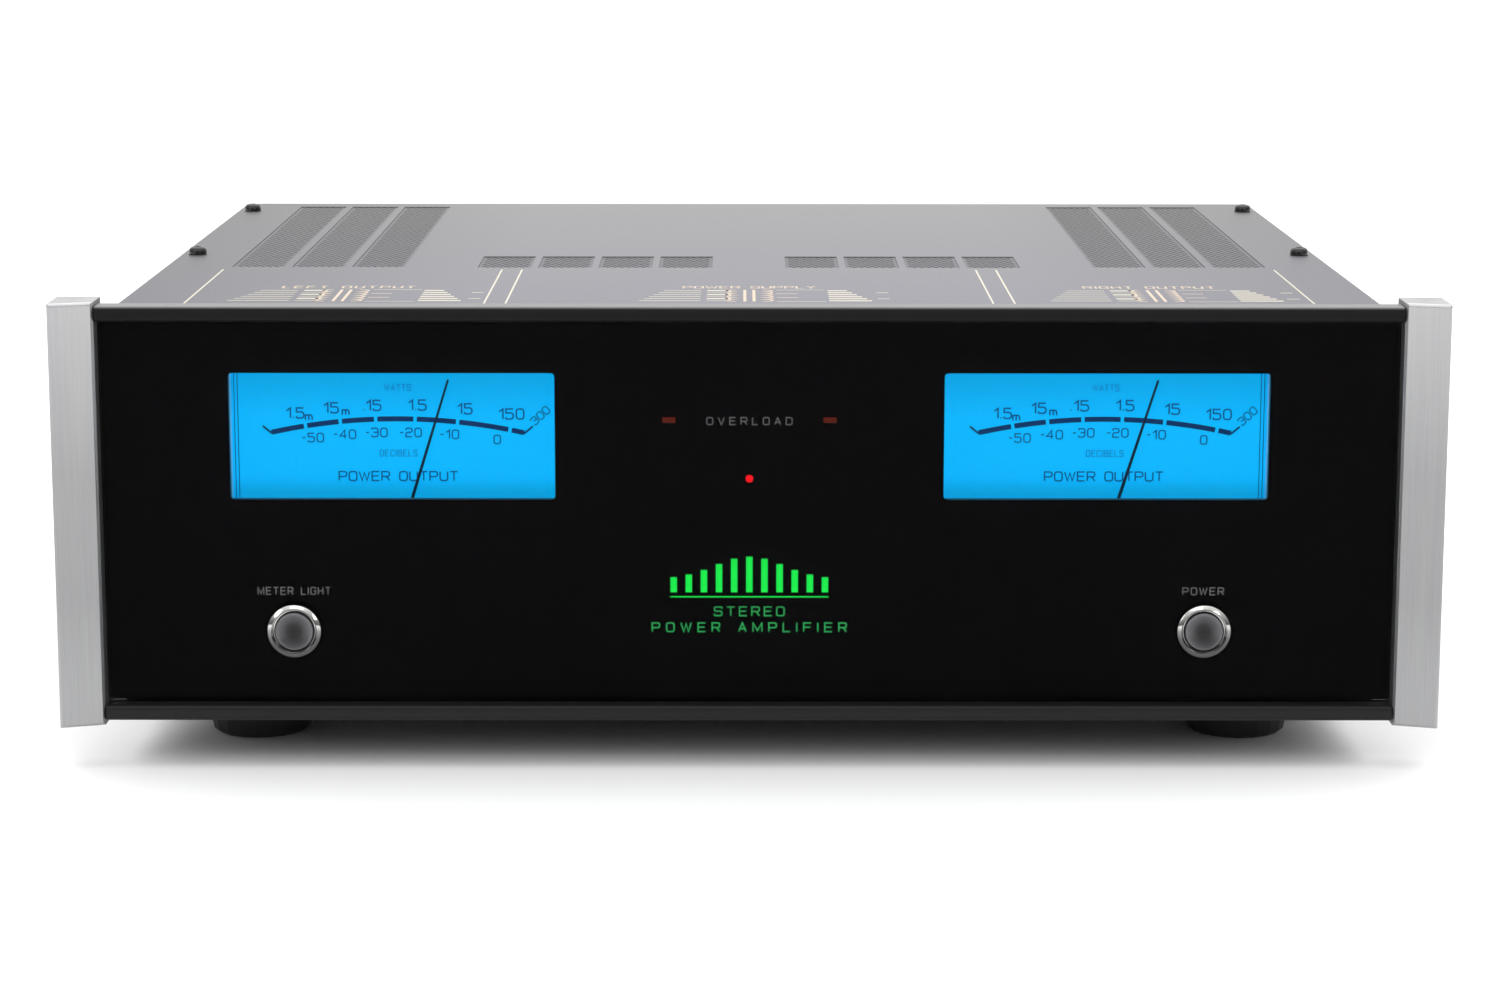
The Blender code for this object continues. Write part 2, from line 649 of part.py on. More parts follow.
def add_mains_inlet():
    """Appliance inlet: ear flange, shroud body, open cavity and three blades."""
    outer = PANEL_BACK + GAP
    bm = bmesh.new()
    prism(bm, rounded_rectangle(50 * MM, 25 * MM, 5 * MM, 3, (INLET_X, INLET_Z)),
          "Y", outer, outer + 3 * MM)
    inlet = add_object("mains_inlet", bm, "black_plastic")
    body = bmesh.new()
    prism(body, inlet_outline(13.7 * MM, 10.1 * MM, 3 * MM), "Y", outer - 20 * MM, outer + MM)
    boolean(inlet, body, "UNION")
    cavity = bmesh.new()
    prism(cavity, inlet_outline(12.1 * MM, 8.0 * MM, 3 * MM), "Y", outer - 14 * MM, outer + 4 * MM)
    boolean(inlet, cavity)
    blades = bmesh.new()
    for x, z in ((0, 2.0 * MM), (-7 * MM, -2.0 * MM), (7 * MM, -2.0 * MM)):
        block(blades, (INLET_X + x - MM, INLET_X + x + MM), (outer - 15 * MM, outer - 4 * MM),
              (INLET_Z + z - 2 * MM, INLET_Z + z + 2 * MM))
    boolean(inlet, blades, "UNION")
    holes = bmesh.new()
    for sign in SIDES.values():
        turned(holes, disc(1.7 * MM, outer - MM, outer + 4 * MM),
               at=(INLET_X + sign * 20 * MM, 0, INLET_Z), segments=10)
    boolean(inlet, holes)


def add_fuse():
    """Panel fuse holder and the bayonet cap that a quarter turn releases."""
    at = (FUSE_X, PANEL_BACK, INLET_Z)
    bm = bmesh.new()
    profile = [
        (3.6 * MM, 4.0 * MM), (8.0 * MM, 4.0 * MM), (8.5 * MM, 3.4 * MM), (8.5 * MM, GAP),
        (6.0 * MM, GAP), (6.0 * MM, -30 * MM), (0, -30 * MM), (0, -26 * MM), (3.6 * MM, -26 * MM),
    ]
    turned(bm, profile, closed=True)
    add_object("fuse_holder", bm, "black_plastic", at=at, smooth=True)
    bm = bmesh.new()
    profile = [
        (0, -25 * MM), (3.2 * MM, -25 * MM), (3.2 * MM, 4.3 * MM), (6.6 * MM, 4.3 * MM),
        (6.6 * MM, 12.4 * MM), (6.0 * MM, 13.0 * MM), (0, 13.0 * MM),
    ]
    turned(bm, profile)
    cap = add_object("fuse_cap", bm, "black_plastic", at=at, smooth=True)
    slot = bmesh.new()
    block(slot, (FUSE_X - 5 * MM, FUSE_X + 5 * MM), (PANEL_BACK + 11.4 * MM, PANEL_BACK + 15 * MM),
          (INLET_Z - 0.7 * MM, INLET_Z + 0.7 * MM))
    boolean(cap, slot)


def add_xlr(side, sign):
    """Balanced input: flanged shell, ring gap for the plug, and three contacts."""
    x, outer = sign * XLR_X, PANEL_BACK + GAP
    bm = bmesh.new()
    prism(bm, rounded_rectangle(26 * MM, 31 * MM, 2.5 * MM, 3, (x, XLR_Z)),
          "Y", outer, outer + 2 * MM)
    socket = add_object(f"xlr_{side}", bm, "black_plastic")
    body = bmesh.new()
    turned(body, disc(11.8 * MM, outer - 17.5 * MM, outer + MM), at=(x, 0, XLR_Z), segments=20)
    boolean(socket, body, "UNION")
    ring = bmesh.new()
    profile = [(7.6 * MM, outer - 14 * MM), (9.6 * MM, outer - 14 * MM),
               (9.6 * MM, outer + 4 * MM), (7.6 * MM, outer + 4 * MM)]
    turned(ring, profile, at=(x, 0, XLR_Z), segments=20, closed=True)
    boolean(socket, ring)
    contacts = bmesh.new()
    for angle in (45, 135, 270):
        dx = 4.2 * MM * math.cos(math.radians(angle))
        dz = 4.2 * MM * math.sin(math.radians(angle))
        turned(contacts, disc(1.4 * MM, outer - 12 * MM, outer + 4 * MM),
               at=(x + dx, 0, XLR_Z + dz), segments=8)
    for ear in SIDES.values():
        turned(contacts, disc(1.6 * MM, outer - MM, outer + 4 * MM),
               at=(x + ear * 9.5 * MM, 0, XLR_Z + ear * 12 * MM), segments=8)
    boolean(socket, contacts)


def add_rca_jacks():
    """A moulded block with the two unbalanced input jacks."""
    front, back = PANEL_FRONT - 12 * MM, PANEL_FRONT - GAP
    bm = bmesh.new()
    block(bm, (-24 * MM, 24 * MM), (front, back), (RCA_Z - 10 * MM, RCA_Z + 10 * MM))
    jacks = add_object("rca_jacks", bm, "gold")
    barrels = bmesh.new()
    pins = bmesh.new()
    for sign in SIDES.values():
        profile = [
            (0, back - MM), (4.9 * MM, back - MM), (4.9 * MM, PANEL_BACK + 1.5 * MM),
            (4.15 * MM, PANEL_BACK + 1.5 * MM), (4.15 * MM, PANEL_BACK + 11 * MM),
            (3.8 * MM, PANEL_BACK + 11.4 * MM), (0, PANEL_BACK + 11.4 * MM),
        ]
        turned(barrels, profile, at=(sign * RCA_X, 0, RCA_Z))
        turned(pins, disc(1.65 * MM, PANEL_BACK - MM, PANEL_BACK + 13 * MM),
               at=(sign * RCA_X, 0, RCA_Z), segments=10)
    boolean(jacks, barrels, "UNION")
    boolean(jacks, pins)


def add_input_board():
    """Board behind the sockets, with the control jacks and the mode switch body."""
    front = INPUT_BOARD_Y
    bm = bmesh.new()
    block(bm, (-72 * MM, 72 * MM), (front, front + BOARD_THICKNESS), (20 * MM, 116 * MM))
    board = add_object("input_board", bm, "circuit_board")
    parts = bmesh.new()
    for z in JACK_Z:
        block(parts, (JACK_X - 6 * MM, JACK_X + 6 * MM), (front + MM, PANEL_FRONT - GAP),
              (z - 5.5 * MM, z + 5.5 * MM))
    block(parts, (-9 * MM, 9 * MM), (front + MM, PANEL_FRONT - 5 * MM),
          (SWITCH_Z - 5 * MM, SWITCH_Z + 5 * MM))
    boolean(board, parts, "UNION")
    barrels = bmesh.new()
    for z in JACK_Z:
        turned(barrels, disc(3.1 * MM, PANEL_FRONT - 2 * MM, PANEL_BACK + 2.5 * MM),
               at=(JACK_X, 0, z), segments=12)
    boolean(board, barrels, "UNION")
    bores = bmesh.new()
    for z in JACK_Z:
        turned(bores, disc(1.8 * MM, PANEL_FRONT - 12 * MM, PANEL_BACK + 4 * MM),
               at=(JACK_X, 0, z), segments=8)
    boolean(board, bores)


def add_mode_switch():
    """The sliding lever that chooses balanced or unbalanced inputs, at its left stop."""
    bm = bmesh.new()
    front = PANEL_FRONT - 5 * MM + GAP
    block(bm, (-7 * MM, 3 * MM), (front, front + 2 * MM), (-3 * MM, 3 * MM))
    lever = add_object("mode_switch_lever", bm, "black_plastic", at=(0, 0, SWITCH_Z))
    knob = bmesh.new()
    block(knob, (-4.6 * MM, 0.2 * MM), (front + MM, PANEL_BACK + 3.5 * MM),
          (SWITCH_Z - 1.8 * MM, SWITCH_Z + 1.8 * MM))
    boolean(lever, knob, "UNION")


def post_places(sign):
    """The X of a channel's four output posts, from its common outwards."""
    middle = (len(POST_NAMES) - 1) / 2
    return [sign * (POST_BLOCK_X + (row - middle) * POST_PITCH) for row in range(len(POST_NAMES))]


def add_output_posts(side, sign):
    """Insulating block with four tubular studs, and the nuts that clamp on them."""
    outer = PANEL_BACK + GAP
    collar, end = outer + 6 * MM, DEPTH + CAP_TIP
    bm = bmesh.new()
    prism(bm, rounded_rectangle(98 * MM, 28 * MM, 4 * MM, 3, (sign * POST_BLOCK_X, POST_Z)),
          "Y", outer, outer + 4 * MM)
    base = add_object(f"terminal_block_{side}", bm, "black_plastic")
    studs = bmesh.new()
    sockets = bmesh.new()
    for x in post_places(sign):
        profile = [
            (0, PANEL_FRONT - 8 * MM), (2.8 * MM, PANEL_FRONT - 8 * MM), (2.8 * MM, outer + MM),
            (6.6 * MM, outer + MM), (6.6 * MM, collar), (POST_STUD_RADIUS, collar),
            (POST_STUD_RADIUS, end), (0, end),
        ]
        turned(studs, profile, at=(x, 0, POST_Z), segments=12)
        turned(sockets, disc(2.1 * MM, end - 14 * MM, end + MM), at=(x, 0, POST_Z), segments=8)
    boolean(base, studs, "UNION")
    boolean(base, sockets)

    nut = nut_mesh()
    for name, x in zip(POST_NAMES, post_places(sign)):
        place(f"post_nut_{side}_{name}", nut, "gold", at=(x, collar + GAP, POST_Z))


def nut_mesh():
    """A fluted thumb nut, bored for the stud, shared by all the output posts."""
    found = bpy.data.meshes.get("post_nut")
    if found:
        return found
    flutes, ridge = 8, 0.9 * MM
    bore = POST_STUD_RADIUS + GAP
    sides = 2 * flutes
    rings = (
        (bore, bore, 0), (NUT_RADIUS - MM, NUT_RADIUS - MM, 0),
        (NUT_RADIUS, NUT_RADIUS - ridge, MM), (NUT_RADIUS, NUT_RADIUS - ridge, NUT_LENGTH - 2 * MM),
        (NUT_RADIUS - 2 * MM, NUT_RADIUS - 2 * MM, NUT_LENGTH), (bore, bore, NUT_LENGTH),
    )
    bm = bmesh.new()
    loops = []
    for high, low, y in rings:
        loop = []
        for step in range(sides):
            radius = high if step % 2 == 0 else low
            angle = 2 * math.pi * step / sides
            loop.append(bm.verts.new((radius * math.cos(angle), y, radius * math.sin(angle))))
        loops.append(loop)
    for ring, following in zip(loops, loops[1:] + loops[:1]):
        for step in range(sides):
            ahead = (step + 1) % sides
            bm.faces.new((ring[step], ring[ahead], following[ahead], following[step]))
    bmesh.ops.recalc_face_normals(bm, faces=bm.faces)
    mesh = bpy.data.meshes.new("post_nut")
    bm.to_mesh(mesh)
    bm.free()
    return mesh


# ----------------------------------------------------------- inner pieces


def add_transformer(name, x, width, height, stack, coil_depth):
    """Laminated core on two mounting feet, with the winding through its windows."""
    low = FLOOR_TOP + GAP
    half, leg = width / 2, width / 6
    y = TRANSFORMER_Y
    bm = bmesh.new()
    outline = [
        (-half - 8 * MM, low), (half + 8 * MM, low), (half + 8 * MM, low + 2 * MM),
        (half, low + 2 * MM), (half, low + height), (-half, low + height),
        (-half, low + 2 * MM), (-half - 8 * MM, low + 2 * MM),
    ]
    prism(bm, outline, "Y", y - stack / 2, y + stack / 2)
    core = add_object(name, bm, "core_steel", at=(x, 0, 0))
    winding = bmesh.new()
    coil = rounded_rectangle(width - 2 * leg - MM, coil_depth, 6 * MM, 3, (x, y))
    prism(winding, coil, "Z", low + leg, low + height - leg)
    boolean(core, winding, "UNION")


def add_heatsink(side, sign):
    """Finned extrusion with upright channels; its flat side carries the transistors."""
    inner, outer = HEATSINK_INNER_X, HEATSINK_OUTER_X
    base = inner + 6 * MM
    start, end = HEATSINK_Y, HEATSINK_Y + HEATSINK_LENGTH
    pitch = HEATSINK_LENGTH / FIN_COUNT
    points = [(inner, start), (inner, end), (base, end)]
    for step in reversed(range(FIN_COUNT)):
        middle = start + (step + 0.5) * pitch
        near, far = middle - FIN_THICKNESS / 2, middle + FIN_THICKNESS / 2
        points += [(base, far), (outer, far), (outer, near), (base, near)]
    points.append((base, start))
    bm = bmesh.new()
    prism(bm, [(sign * x, y) for x, y in points], "Z", FLOOR_TOP + GAP, HEATSINK_HIGH)
    add_object(f"heatsink_{side}", bm, "black_heatsink")


def add_amp_board(side, sign):
    """Upright driver board with its output transistors flat against the heatsink."""
    near, far = AMP_BOARD_X, AMP_BOARD_X + BOARD_THICKNESS
    face = HEATSINK_INNER_X - GAP

    def span(low, high):
        return tuple(sorted((sign * low, sign * high)))

    bm = bmesh.new()
    block(bm, span(near, far), (136 * MM, 312 * MM), (12 * MM, 112 * MM))
    board = add_object(f"amp_board_{side}", bm, "circuit_board")
    parts = bmesh.new()
    for y in TRANSISTOR_Y:
        block(parts, span(face - 5 * MM, face), (y - 10 * MM, y + 10 * MM), (40 * MM, 66 * MM))
        block(parts, span(near - 12 * MM, near + 0.4 * MM), (y - 7 * MM, y + 7 * MM),
              (80 * MM, 94 * MM))
    for y in (146 * MM, 302 * MM):
        block(parts, span(near - 3 * MM, far + 3 * MM), (y - 3 * MM, y + 3 * MM),
              (FLOOR_TOP + GAP, 14 * MM))
    boolean(board, parts, "UNION")
    leads = bmesh.new()
    half = 0.6 * MM
    for lead in [y + step * 5 * MM for y in TRANSISTOR_Y for step in (-1, 0, 1)]:
        block(leads, span(near + MM, face - MM), (lead - half, lead + half), (44 * MM, 45 * MM))
    boolean(board, leads, "UNION")


def add_supply_board():
    """Rectifier and four reservoir capacitors on a board that stands on spacers."""
    top, radius = SUPPLY_TOP, 25 * MM
    bm = bmesh.new()
    block(bm, (-84 * MM, 84 * MM), (SUPPLY_Y - 66 * MM, SUPPLY_Y + 66 * MM),
          (top - BOARD_THICKNESS, top))
    board = add_object("supply_board", bm, "circuit_board")
    parts = bmesh.new()
    for sign in SIDES.values():
        for end in (-1, 1):
            x, y = sign * 44 * MM, SUPPLY_Y + end * 32 * MM
            turned(parts, disc(radius, top - 0.4 * MM, 98 * MM), "Z", at=(x, y, 0), segments=16)
            turned(parts, disc(3 * MM, FLOOR_TOP + GAP, top - 1.2 * MM), "Z",
                   at=(sign * 78 * MM, SUPPLY_Y + end * 60 * MM, 0), segments=8)
    block(parts, (-9 * MM, 9 * MM), (SUPPLY_Y - 15 * MM, SUPPLY_Y + 15 * MM),
          (top - 0.4 * MM, 30 * MM))
    boolean(board, parts, "UNION")


# -------------------------------------------------------------------- main


def main():
    clear_scene()
    datum = bpy.data.objects.new("front_datum", None)
    datum.location = (0, -DEPTH / 2 - CAP_TIP, FOOT_HEIGHT)
    bpy.context.scene.collection.objects.link(datum)

    add_end_caps()
    add_rails()
    add_glass()
    add_carrier()
    add_lamps()
    add_front_board()
    add_button("meter_light", SIDES["left"])
    add_button("power", SIDES["right"])
    add_tray()
    add_cover()
    add_cover_screws()
    add_feet()
    add_rear_panel()
    add_mains_inlet()
    add_fuse()
    add_rca_jacks()
    add_input_board()
    add_mode_switch()
    add_supply_board()
    add_transformer("power_transformer", 0, 110 * MM, 100 * MM, 40 * MM, 62 * MM)
    for side, sign in SIDES.items():
        add_meter(side, sign)
        add_xlr(side, sign)
        add_output_posts(side, sign)
        add_transformer(f"autoformer_{side}", sign * AUTOFORMER_X,
                        78 * MM, 72 * MM, 36 * MM, 54 * MM)
        add_heatsink(side, sign)
        add_amp_board(side, sign)


main()
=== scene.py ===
import math

import bmesh
import bpy
from mathutils import Matrix, Vector


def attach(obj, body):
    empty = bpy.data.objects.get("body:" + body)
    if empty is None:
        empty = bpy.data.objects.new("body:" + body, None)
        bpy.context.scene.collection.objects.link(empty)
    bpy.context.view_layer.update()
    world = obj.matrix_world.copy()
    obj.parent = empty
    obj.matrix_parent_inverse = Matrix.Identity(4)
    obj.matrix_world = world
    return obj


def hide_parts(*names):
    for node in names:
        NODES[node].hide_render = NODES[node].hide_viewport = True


# Looks of a stereo power amplifier: a printed black glass with two lit needle meters, brushed
# end caps, a painted cover with perforated vents, and a rear panel with gold output posts.
# Lengths are millimetres in the part's own frame: X right, Y back from the foremost edge of the
# end caps, Z up from their lower end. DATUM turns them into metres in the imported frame. Only the
# materials' node values, the lights and the camera are in metres.

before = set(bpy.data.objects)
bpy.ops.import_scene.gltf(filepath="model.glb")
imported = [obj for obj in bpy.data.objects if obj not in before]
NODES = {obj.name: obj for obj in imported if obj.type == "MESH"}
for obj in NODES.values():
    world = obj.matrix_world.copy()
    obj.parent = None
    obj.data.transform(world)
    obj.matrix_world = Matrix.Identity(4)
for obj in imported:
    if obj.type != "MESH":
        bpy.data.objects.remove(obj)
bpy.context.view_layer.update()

MM = 0.001
FEET = 0.0144
DATUM = Matrix.Translation((0, -0.18425, FEET)) @ Matrix.Scale(MM, 4)
SIDES = {"left": -1, "right": 1}
CAP_HEIGHT = 138.0
SMALL = 1e-4

# Front
GLASS_HALF = 208.0
GLASS_LOW, GLASS_HIGH = 6.8, 131.2
MASK_Y = (13.14, 13.26)
PRINT_Y = 13.1
PRINT_THICKNESS = 0.05
METER_X = 114.9
WINDOW_HALF = 52.3
WINDOW_LOW, WINDOW_HIGH = 72.9, 114.1
WINDOW_CORNER = 1.3
DIAL_Y = 26.5
DIAL_PRINT = 0.06
DIAL_SHIFT = 1.0
BUTTON_X, BUTTON_Z = 147.1, 30.4
BUTTON_RADIUS = 6.15
BEZEL_RADIUS = 8.75
BARREL_RADIUS = 7.3
BARREL_HOLE = 7.6
STATUS_HOLE = 1.25
WIDE_ARC = 3.0
GUARD_X, GUARD_Z = 25.9, 98.9
GUARD_HOLE = (2.1, 0.9)
STATUS_Z = 79.8

# Cover
COVER_HALF, COVER_FRONT, COVER_BACK = 205.5, 16.6, 346.7
COVER_TOP, COVER_LIP, COVER_SHEET = 134.5, 16.0, 1.5
COVER_CORNER, COVER_BEND = 6.0, 2.0
COVER_PRINT = 0.04
FIELD_LINES = (-183.0, -86.0, -79.0, 79.0, 86.0, 183.0)
FIELD_TITLES = ((-134.0, "LEFT OUTPUT"), (0.0, "POWER SUPPLY"), (134.0, "RIGHT OUTPUT"))
COVER_SCREW_X, COVER_SCREW_Y = 198.6, {"front": 165.5, "rear": 315.7}
LONG_VENTS = {"x": (130.0, 151.0, 172.0), "size": (18.2, 205.0), "y": 230.3, "cells": (7, 82)}
SHORT_VENTS = {"x": (22.2, 43.3, 64.5, 85.7), "size": (18.5, 34.0), "y": 143.3, "cells": (7, 13)}
GRILLE_TOP, GRILLE_THICKNESS = 134.1, 0.8

# Rear
PANEL_BACK = 343.5
BLOCK_BACK = 347.8
REAR_PRINT = 0.06
POST_X, POST_Z, POST_PITCH = 138.0, 88.0, 23.0
POST_NAMES = ("common", "2_ohm", "4_ohm", "8_ohm")
POST_LABELS = ("COM", "2", "4", "8")
NUT_FRONT, NUT_LENGTH, NUT_RADIUS = 350.1, 16.0, 7.6
XLR_X, RCA_X = 30.0, 14.0
SWITCH_Z = 66.0
JACK_X, JACK_Z = -58.0, (40.0, 60.0)
INLET_X, FUSE_X = 140.0, 98.0


# ---- materials


class Finish:
    """A Principled material whose node tree is built up step by step."""

    def __init__(self, name, colour, roughness, metallic=0.0, **sockets):
        self.material = bpy.data.materials.new(name)
        self.material.use_nodes = True
        self.tree = self.material.node_tree
        self.shader = self.tree.nodes["Principled BSDF"]
        self.set(self.shader, Base_Color=(*colour, 1.0), Roughness=roughness,
                 Metallic=metallic, **sockets)
        self.height = None

    @staticmethod
    def set(node, **values):
        """Sets sockets by their names, written with _ for a space."""
        for socket, value in values.items():
            node.inputs[socket.replace("_", " ")].default_value = value

    def node(self, kind, **values):
        node = self.tree.nodes.new(f"ShaderNode{kind}")
        self.set(node, **values)
        return node

    def link(self, output, node, socket):
        self.tree.links.new(output, node.inputs[socket])

    def place(self, scale=(1, 1, 1)):
        """Object coordinates, stretched by scale."""
        mapping = self.node("Mapping", Scale=scale)
        self.link(self.node("TexCoord").outputs["Object"], mapping, "Vector")
        return mapping.outputs["Vector"]

    def noise(self, scale, stretch=(1, 1, 1), detail=3.0):
        node = self.node("TexNoise", Scale=scale, Detail=detail)
        self.link(self.place(stretch), node, "Vector")
        return node.outputs["Fac"]

    def cells(self, scale, feature="F1"):
        node = self.node("TexVoronoi", Scale=scale)
        node.feature = feature
        self.link(self.place(), node, "Vector")
        return node.outputs["Distance"]

    def bands(self, scale, direction):
        node = self.node("TexWave", Scale=scale)
        node.bands_direction = direction
        self.link(self.place(), node, "Vector")
        return node.outputs["Fac"]

    def axes(self):
        """The object coordinates X, Y and Z, each on its own."""
        split = self.node("SeparateXYZ")
        self.link(self.node("TexCoord").outputs["Object"], split, "Vector")
        return split.outputs

    def along(self, axis, low, high):
        """0 at low and 1 at high along an axis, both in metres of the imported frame."""
        span = self.node("MapRange", From_Min=low, From_Max=high)
        self.link(self.axes()[axis], span, "Value")
        return span.outputs["Result"]

    def upward(self, low, high):
        """0 at low and 1 at high, both in datum millimetres."""
        return self.along("Z", FEET + low * MM, FEET + high * MM)

    def from_button(self):
        """Distance in button radii from the axis of the nearer push button."""
        axes = self.axes()
        mirrored = self.node("Math")
        mirrored.operation = "ABSOLUTE"
        self.link(axes["X"], mirrored, 0)
        flat = self.node("CombineXYZ")
        self.link(mirrored.outputs["Value"], flat, "X")
        self.link(axes["Z"], flat, "Z")
        reach = self.node("VectorMath")
        reach.operation = "DISTANCE"
        self.link(flat.outputs["Vector"], reach, 0)
        reach.inputs[1].default_value = (BUTTON_X * MM, 0.0, FEET + BUTTON_Z * MM)
        share = self.node("MapRange", From_Max=BUTTON_RADIUS * MM)
        self.link(reach.outputs["Value"], share, "Value")
        return share.outputs["Result"]

    def ramp(self, factor, stops):
        """Colours along a factor: stops are (position, colour)."""
        node = self.node("ValToRGB")
        elements = node.color_ramp.elements
        while len(elements) < len(stops):
            elements.new(0.5)
        for element, (position, colour) in zip(elements, stops):
            element.position = position
            element.color = (*colour, 1.0)
        self.link(factor, node, "Fac")
        return node.outputs["Color"]

    def range(self, factor, low, high):
        """A factor from 0 to 1 turned into one from low to high."""
        node = self.node("MapRange", To_Min=low, To_Max=high)
        self.link(factor, node, "Value")
        return node.outputs["Result"]

    def blend(self, factor, first, second, kind="MIX"):
        node = self.node("Mix")
        node.data_type = "RGBA"
        node.blend_type = kind
        node.inputs[0].default_value = factor
        self.link(first, node, 6)
        self.link(second, node, 7)
        return node.outputs[2]

    def multiply(self, first, second):
        return self.blend(1.0, first, second, "MULTIPLY")

    def speckled(self, output, factor, dark, ends=(0.3, 0.7)):
        """A colour darkened to a share of itself where the factor is low."""
        shade = self.ramp(factor, [(ends[0], grey(dark)), (ends[1], grey(1.0))])
        return self.multiply(output, shade)

    def colour(self, output):
        self.link(output, self.shader, "Base Color")
        return self

    def roughness(self, output):
        self.link(output, self.shader, "Roughness")
        return self

    def bump(self, output, distance, strength):
        """Relief of that depth in metres; a second call adds to the first."""
        node = self.node("Bump", Distance=distance, Strength=strength)
        self.link(output, node, "Height")
        if self.height:
            self.link(self.height, node, "Normal")
        self.height = node.outputs["Normal"]
        self.link(self.height, self.shader, "Normal")
        return self


def grey(value, tint=(1.0, 1.0, 1.0)):
    return tuple(value * part for part in tint)


def mottled(name, colour, roughness, metallic=0.0, spread=0.15, grain=900, depth=0.00002,
            rough_spread=0.08, stretch=(1, 1, 1), **sockets):
    """A finish with fine grain: its colour, gloss and relief all vary with the same texture."""
    finish = Finish(name, colour, roughness, metallic, **sockets)
    fine = finish.noise(grain, stretch)
    broad = finish.noise(grain / 40, stretch, detail=2.0)
    stops = [(0.3, grey(1 - spread, colour)), (0.7, grey(1 + spread, colour))]
    finish.colour(finish.blend(0.5, finish.ramp(fine, stops), finish.ramp(broad, stops)))
    finish.roughness(finish.range(broad, roughness - rough_spread, roughness + rough_spread))
    finish.bump(fine, depth, 0.6)
    return finish.material


def brushed_aluminium():
    """Extrusion brushed along its height, with a clear anodised skin, and painted light: lighter at
    the bottom and brightest at the top.
    """
    finish = Finish("brushed_aluminium", grey(0.5, (1, 1, 1.01)), 0.34, 1.0, Anisotropic=0.4)
    strands = finish.noise(1.0, (2600, 2600, 26), detail=5.0)
    clouds = finish.noise(1.0, (120, 120, 14), detail=2.0)
    strand_colour = finish.ramp(strands, [(0.25, grey(0.46, (1, 1, 1.03))), (0.75, grey(0.62))])
    cloud_colour = finish.ramp(clouds, [(0.3, grey(0.50, (1, 1, 1.04))), (0.7, grey(0.56))])
    # Painted light by height: lighter near the bottom, darkest about a third of the way up,
    # brightest near the top.
    height = finish.upward(0.0, CAP_HEIGHT)
    painted_light_by_height = finish.ramp(height, [(0.0, grey(0.70)), (0.3, grey(0.55)), (0.6, grey(0.58)),
                                (1.0, grey(0.82))])
    brushed = finish.blend(0.45, strand_colour, cloud_colour)
    finish.colour(finish.multiply(brushed, painted_light_by_height))
    finish.roughness(finish.range(strands, 0.27, 0.42))
    finish.bump(strands, 0.00002, 0.35)
    return finish.material


def anodised_rail():
    """Dark anodised extrusion, brushed along its length, with painted light: a painted highlight
    along the top edge and a lighter, warmer foot.
    """
    finish = Finish("rail_anodised", grey(0.012), 0.28, Specular_IOR_Level=0.12)
    strands = finish.noise(2600, (0.04, 1, 1))
    # Painted light by height: the lower rail lighter and warmer towards its foot, the upper rail
    # darkest just under its top, then a narrow painted highlight along the top edge.
    height = finish.upward(0.0, CAP_HEIGHT)
    painted_light_by_height = finish.ramp(height, [(0.0, grey(0.020, (1.0, 0.95, 0.92))), (0.1, grey(0.012)),
                                (0.975, grey(0.004)), (0.9875, grey(0.015)), (0.9889, grey(0.30))])
    finish.colour(finish.speckled(painted_light_by_height, strands, 0.8))
    finish.roughness(finish.range(strands, 0.24, 0.34))
    finish.bump(strands, 0.00001, 0.6)
    return finish.material


def bezel_chrome():
    """Polished plate with a painted reflection: dark on its lower half, bright and a little warm on
    its upper half.
    """
    finish = Finish("bezel_chrome", grey(0.55), 0.09, 1.0)
    marks = finish.noise(1200, (1, 0.2, 1))
    # Painted reflection: dark below the button's middle, bright and a little warm above it.
    height = finish.upward(BUTTON_Z - 2.5, BUTTON_Z + 2.0)
    painted_light_by_height = finish.ramp(height, [(0.0, grey(0.13)), (0.6, grey(0.24)),
                                (1.0, grey(0.62, (1.0, 0.99, 0.96)))])
    finish.colour(finish.speckled(painted_light_by_height, marks, 0.92))
    finish.roughness(finish.range(marks, 0.07, 0.13))
    finish.bump(marks, 0.000004, 0.3)
    return finish.material


def satin_button():
    """Satin cap with a painted reflection in its shallow hollow: darkest at the centre, lighter and
    bluer towards the rim.
    """
    finish = Finish("button_satin", grey(0.10), 0.3, 0.9)
    grain = finish.noise(1800)
    # Painted reflection: dark at the centre of the cap, lighter and bluer towards the rim.
    painted_reflection_across_cap = finish.ramp(finish.from_button(), [(0.0, grey(0.022)), (0.35, grey(0.035)),
                                              (0.75, grey(0.10, (1, 1, 1.06))),
                                              (1.0, grey(0.15, (1, 1, 1.06)))])
    finish.colour(finish.speckled(painted_reflection_across_cap, grain, 0.9))
    finish.roughness(finish.range(grain, 0.26, 0.36))
    finish.bump(grain, 0.00002, 0.5)
    return finish.material


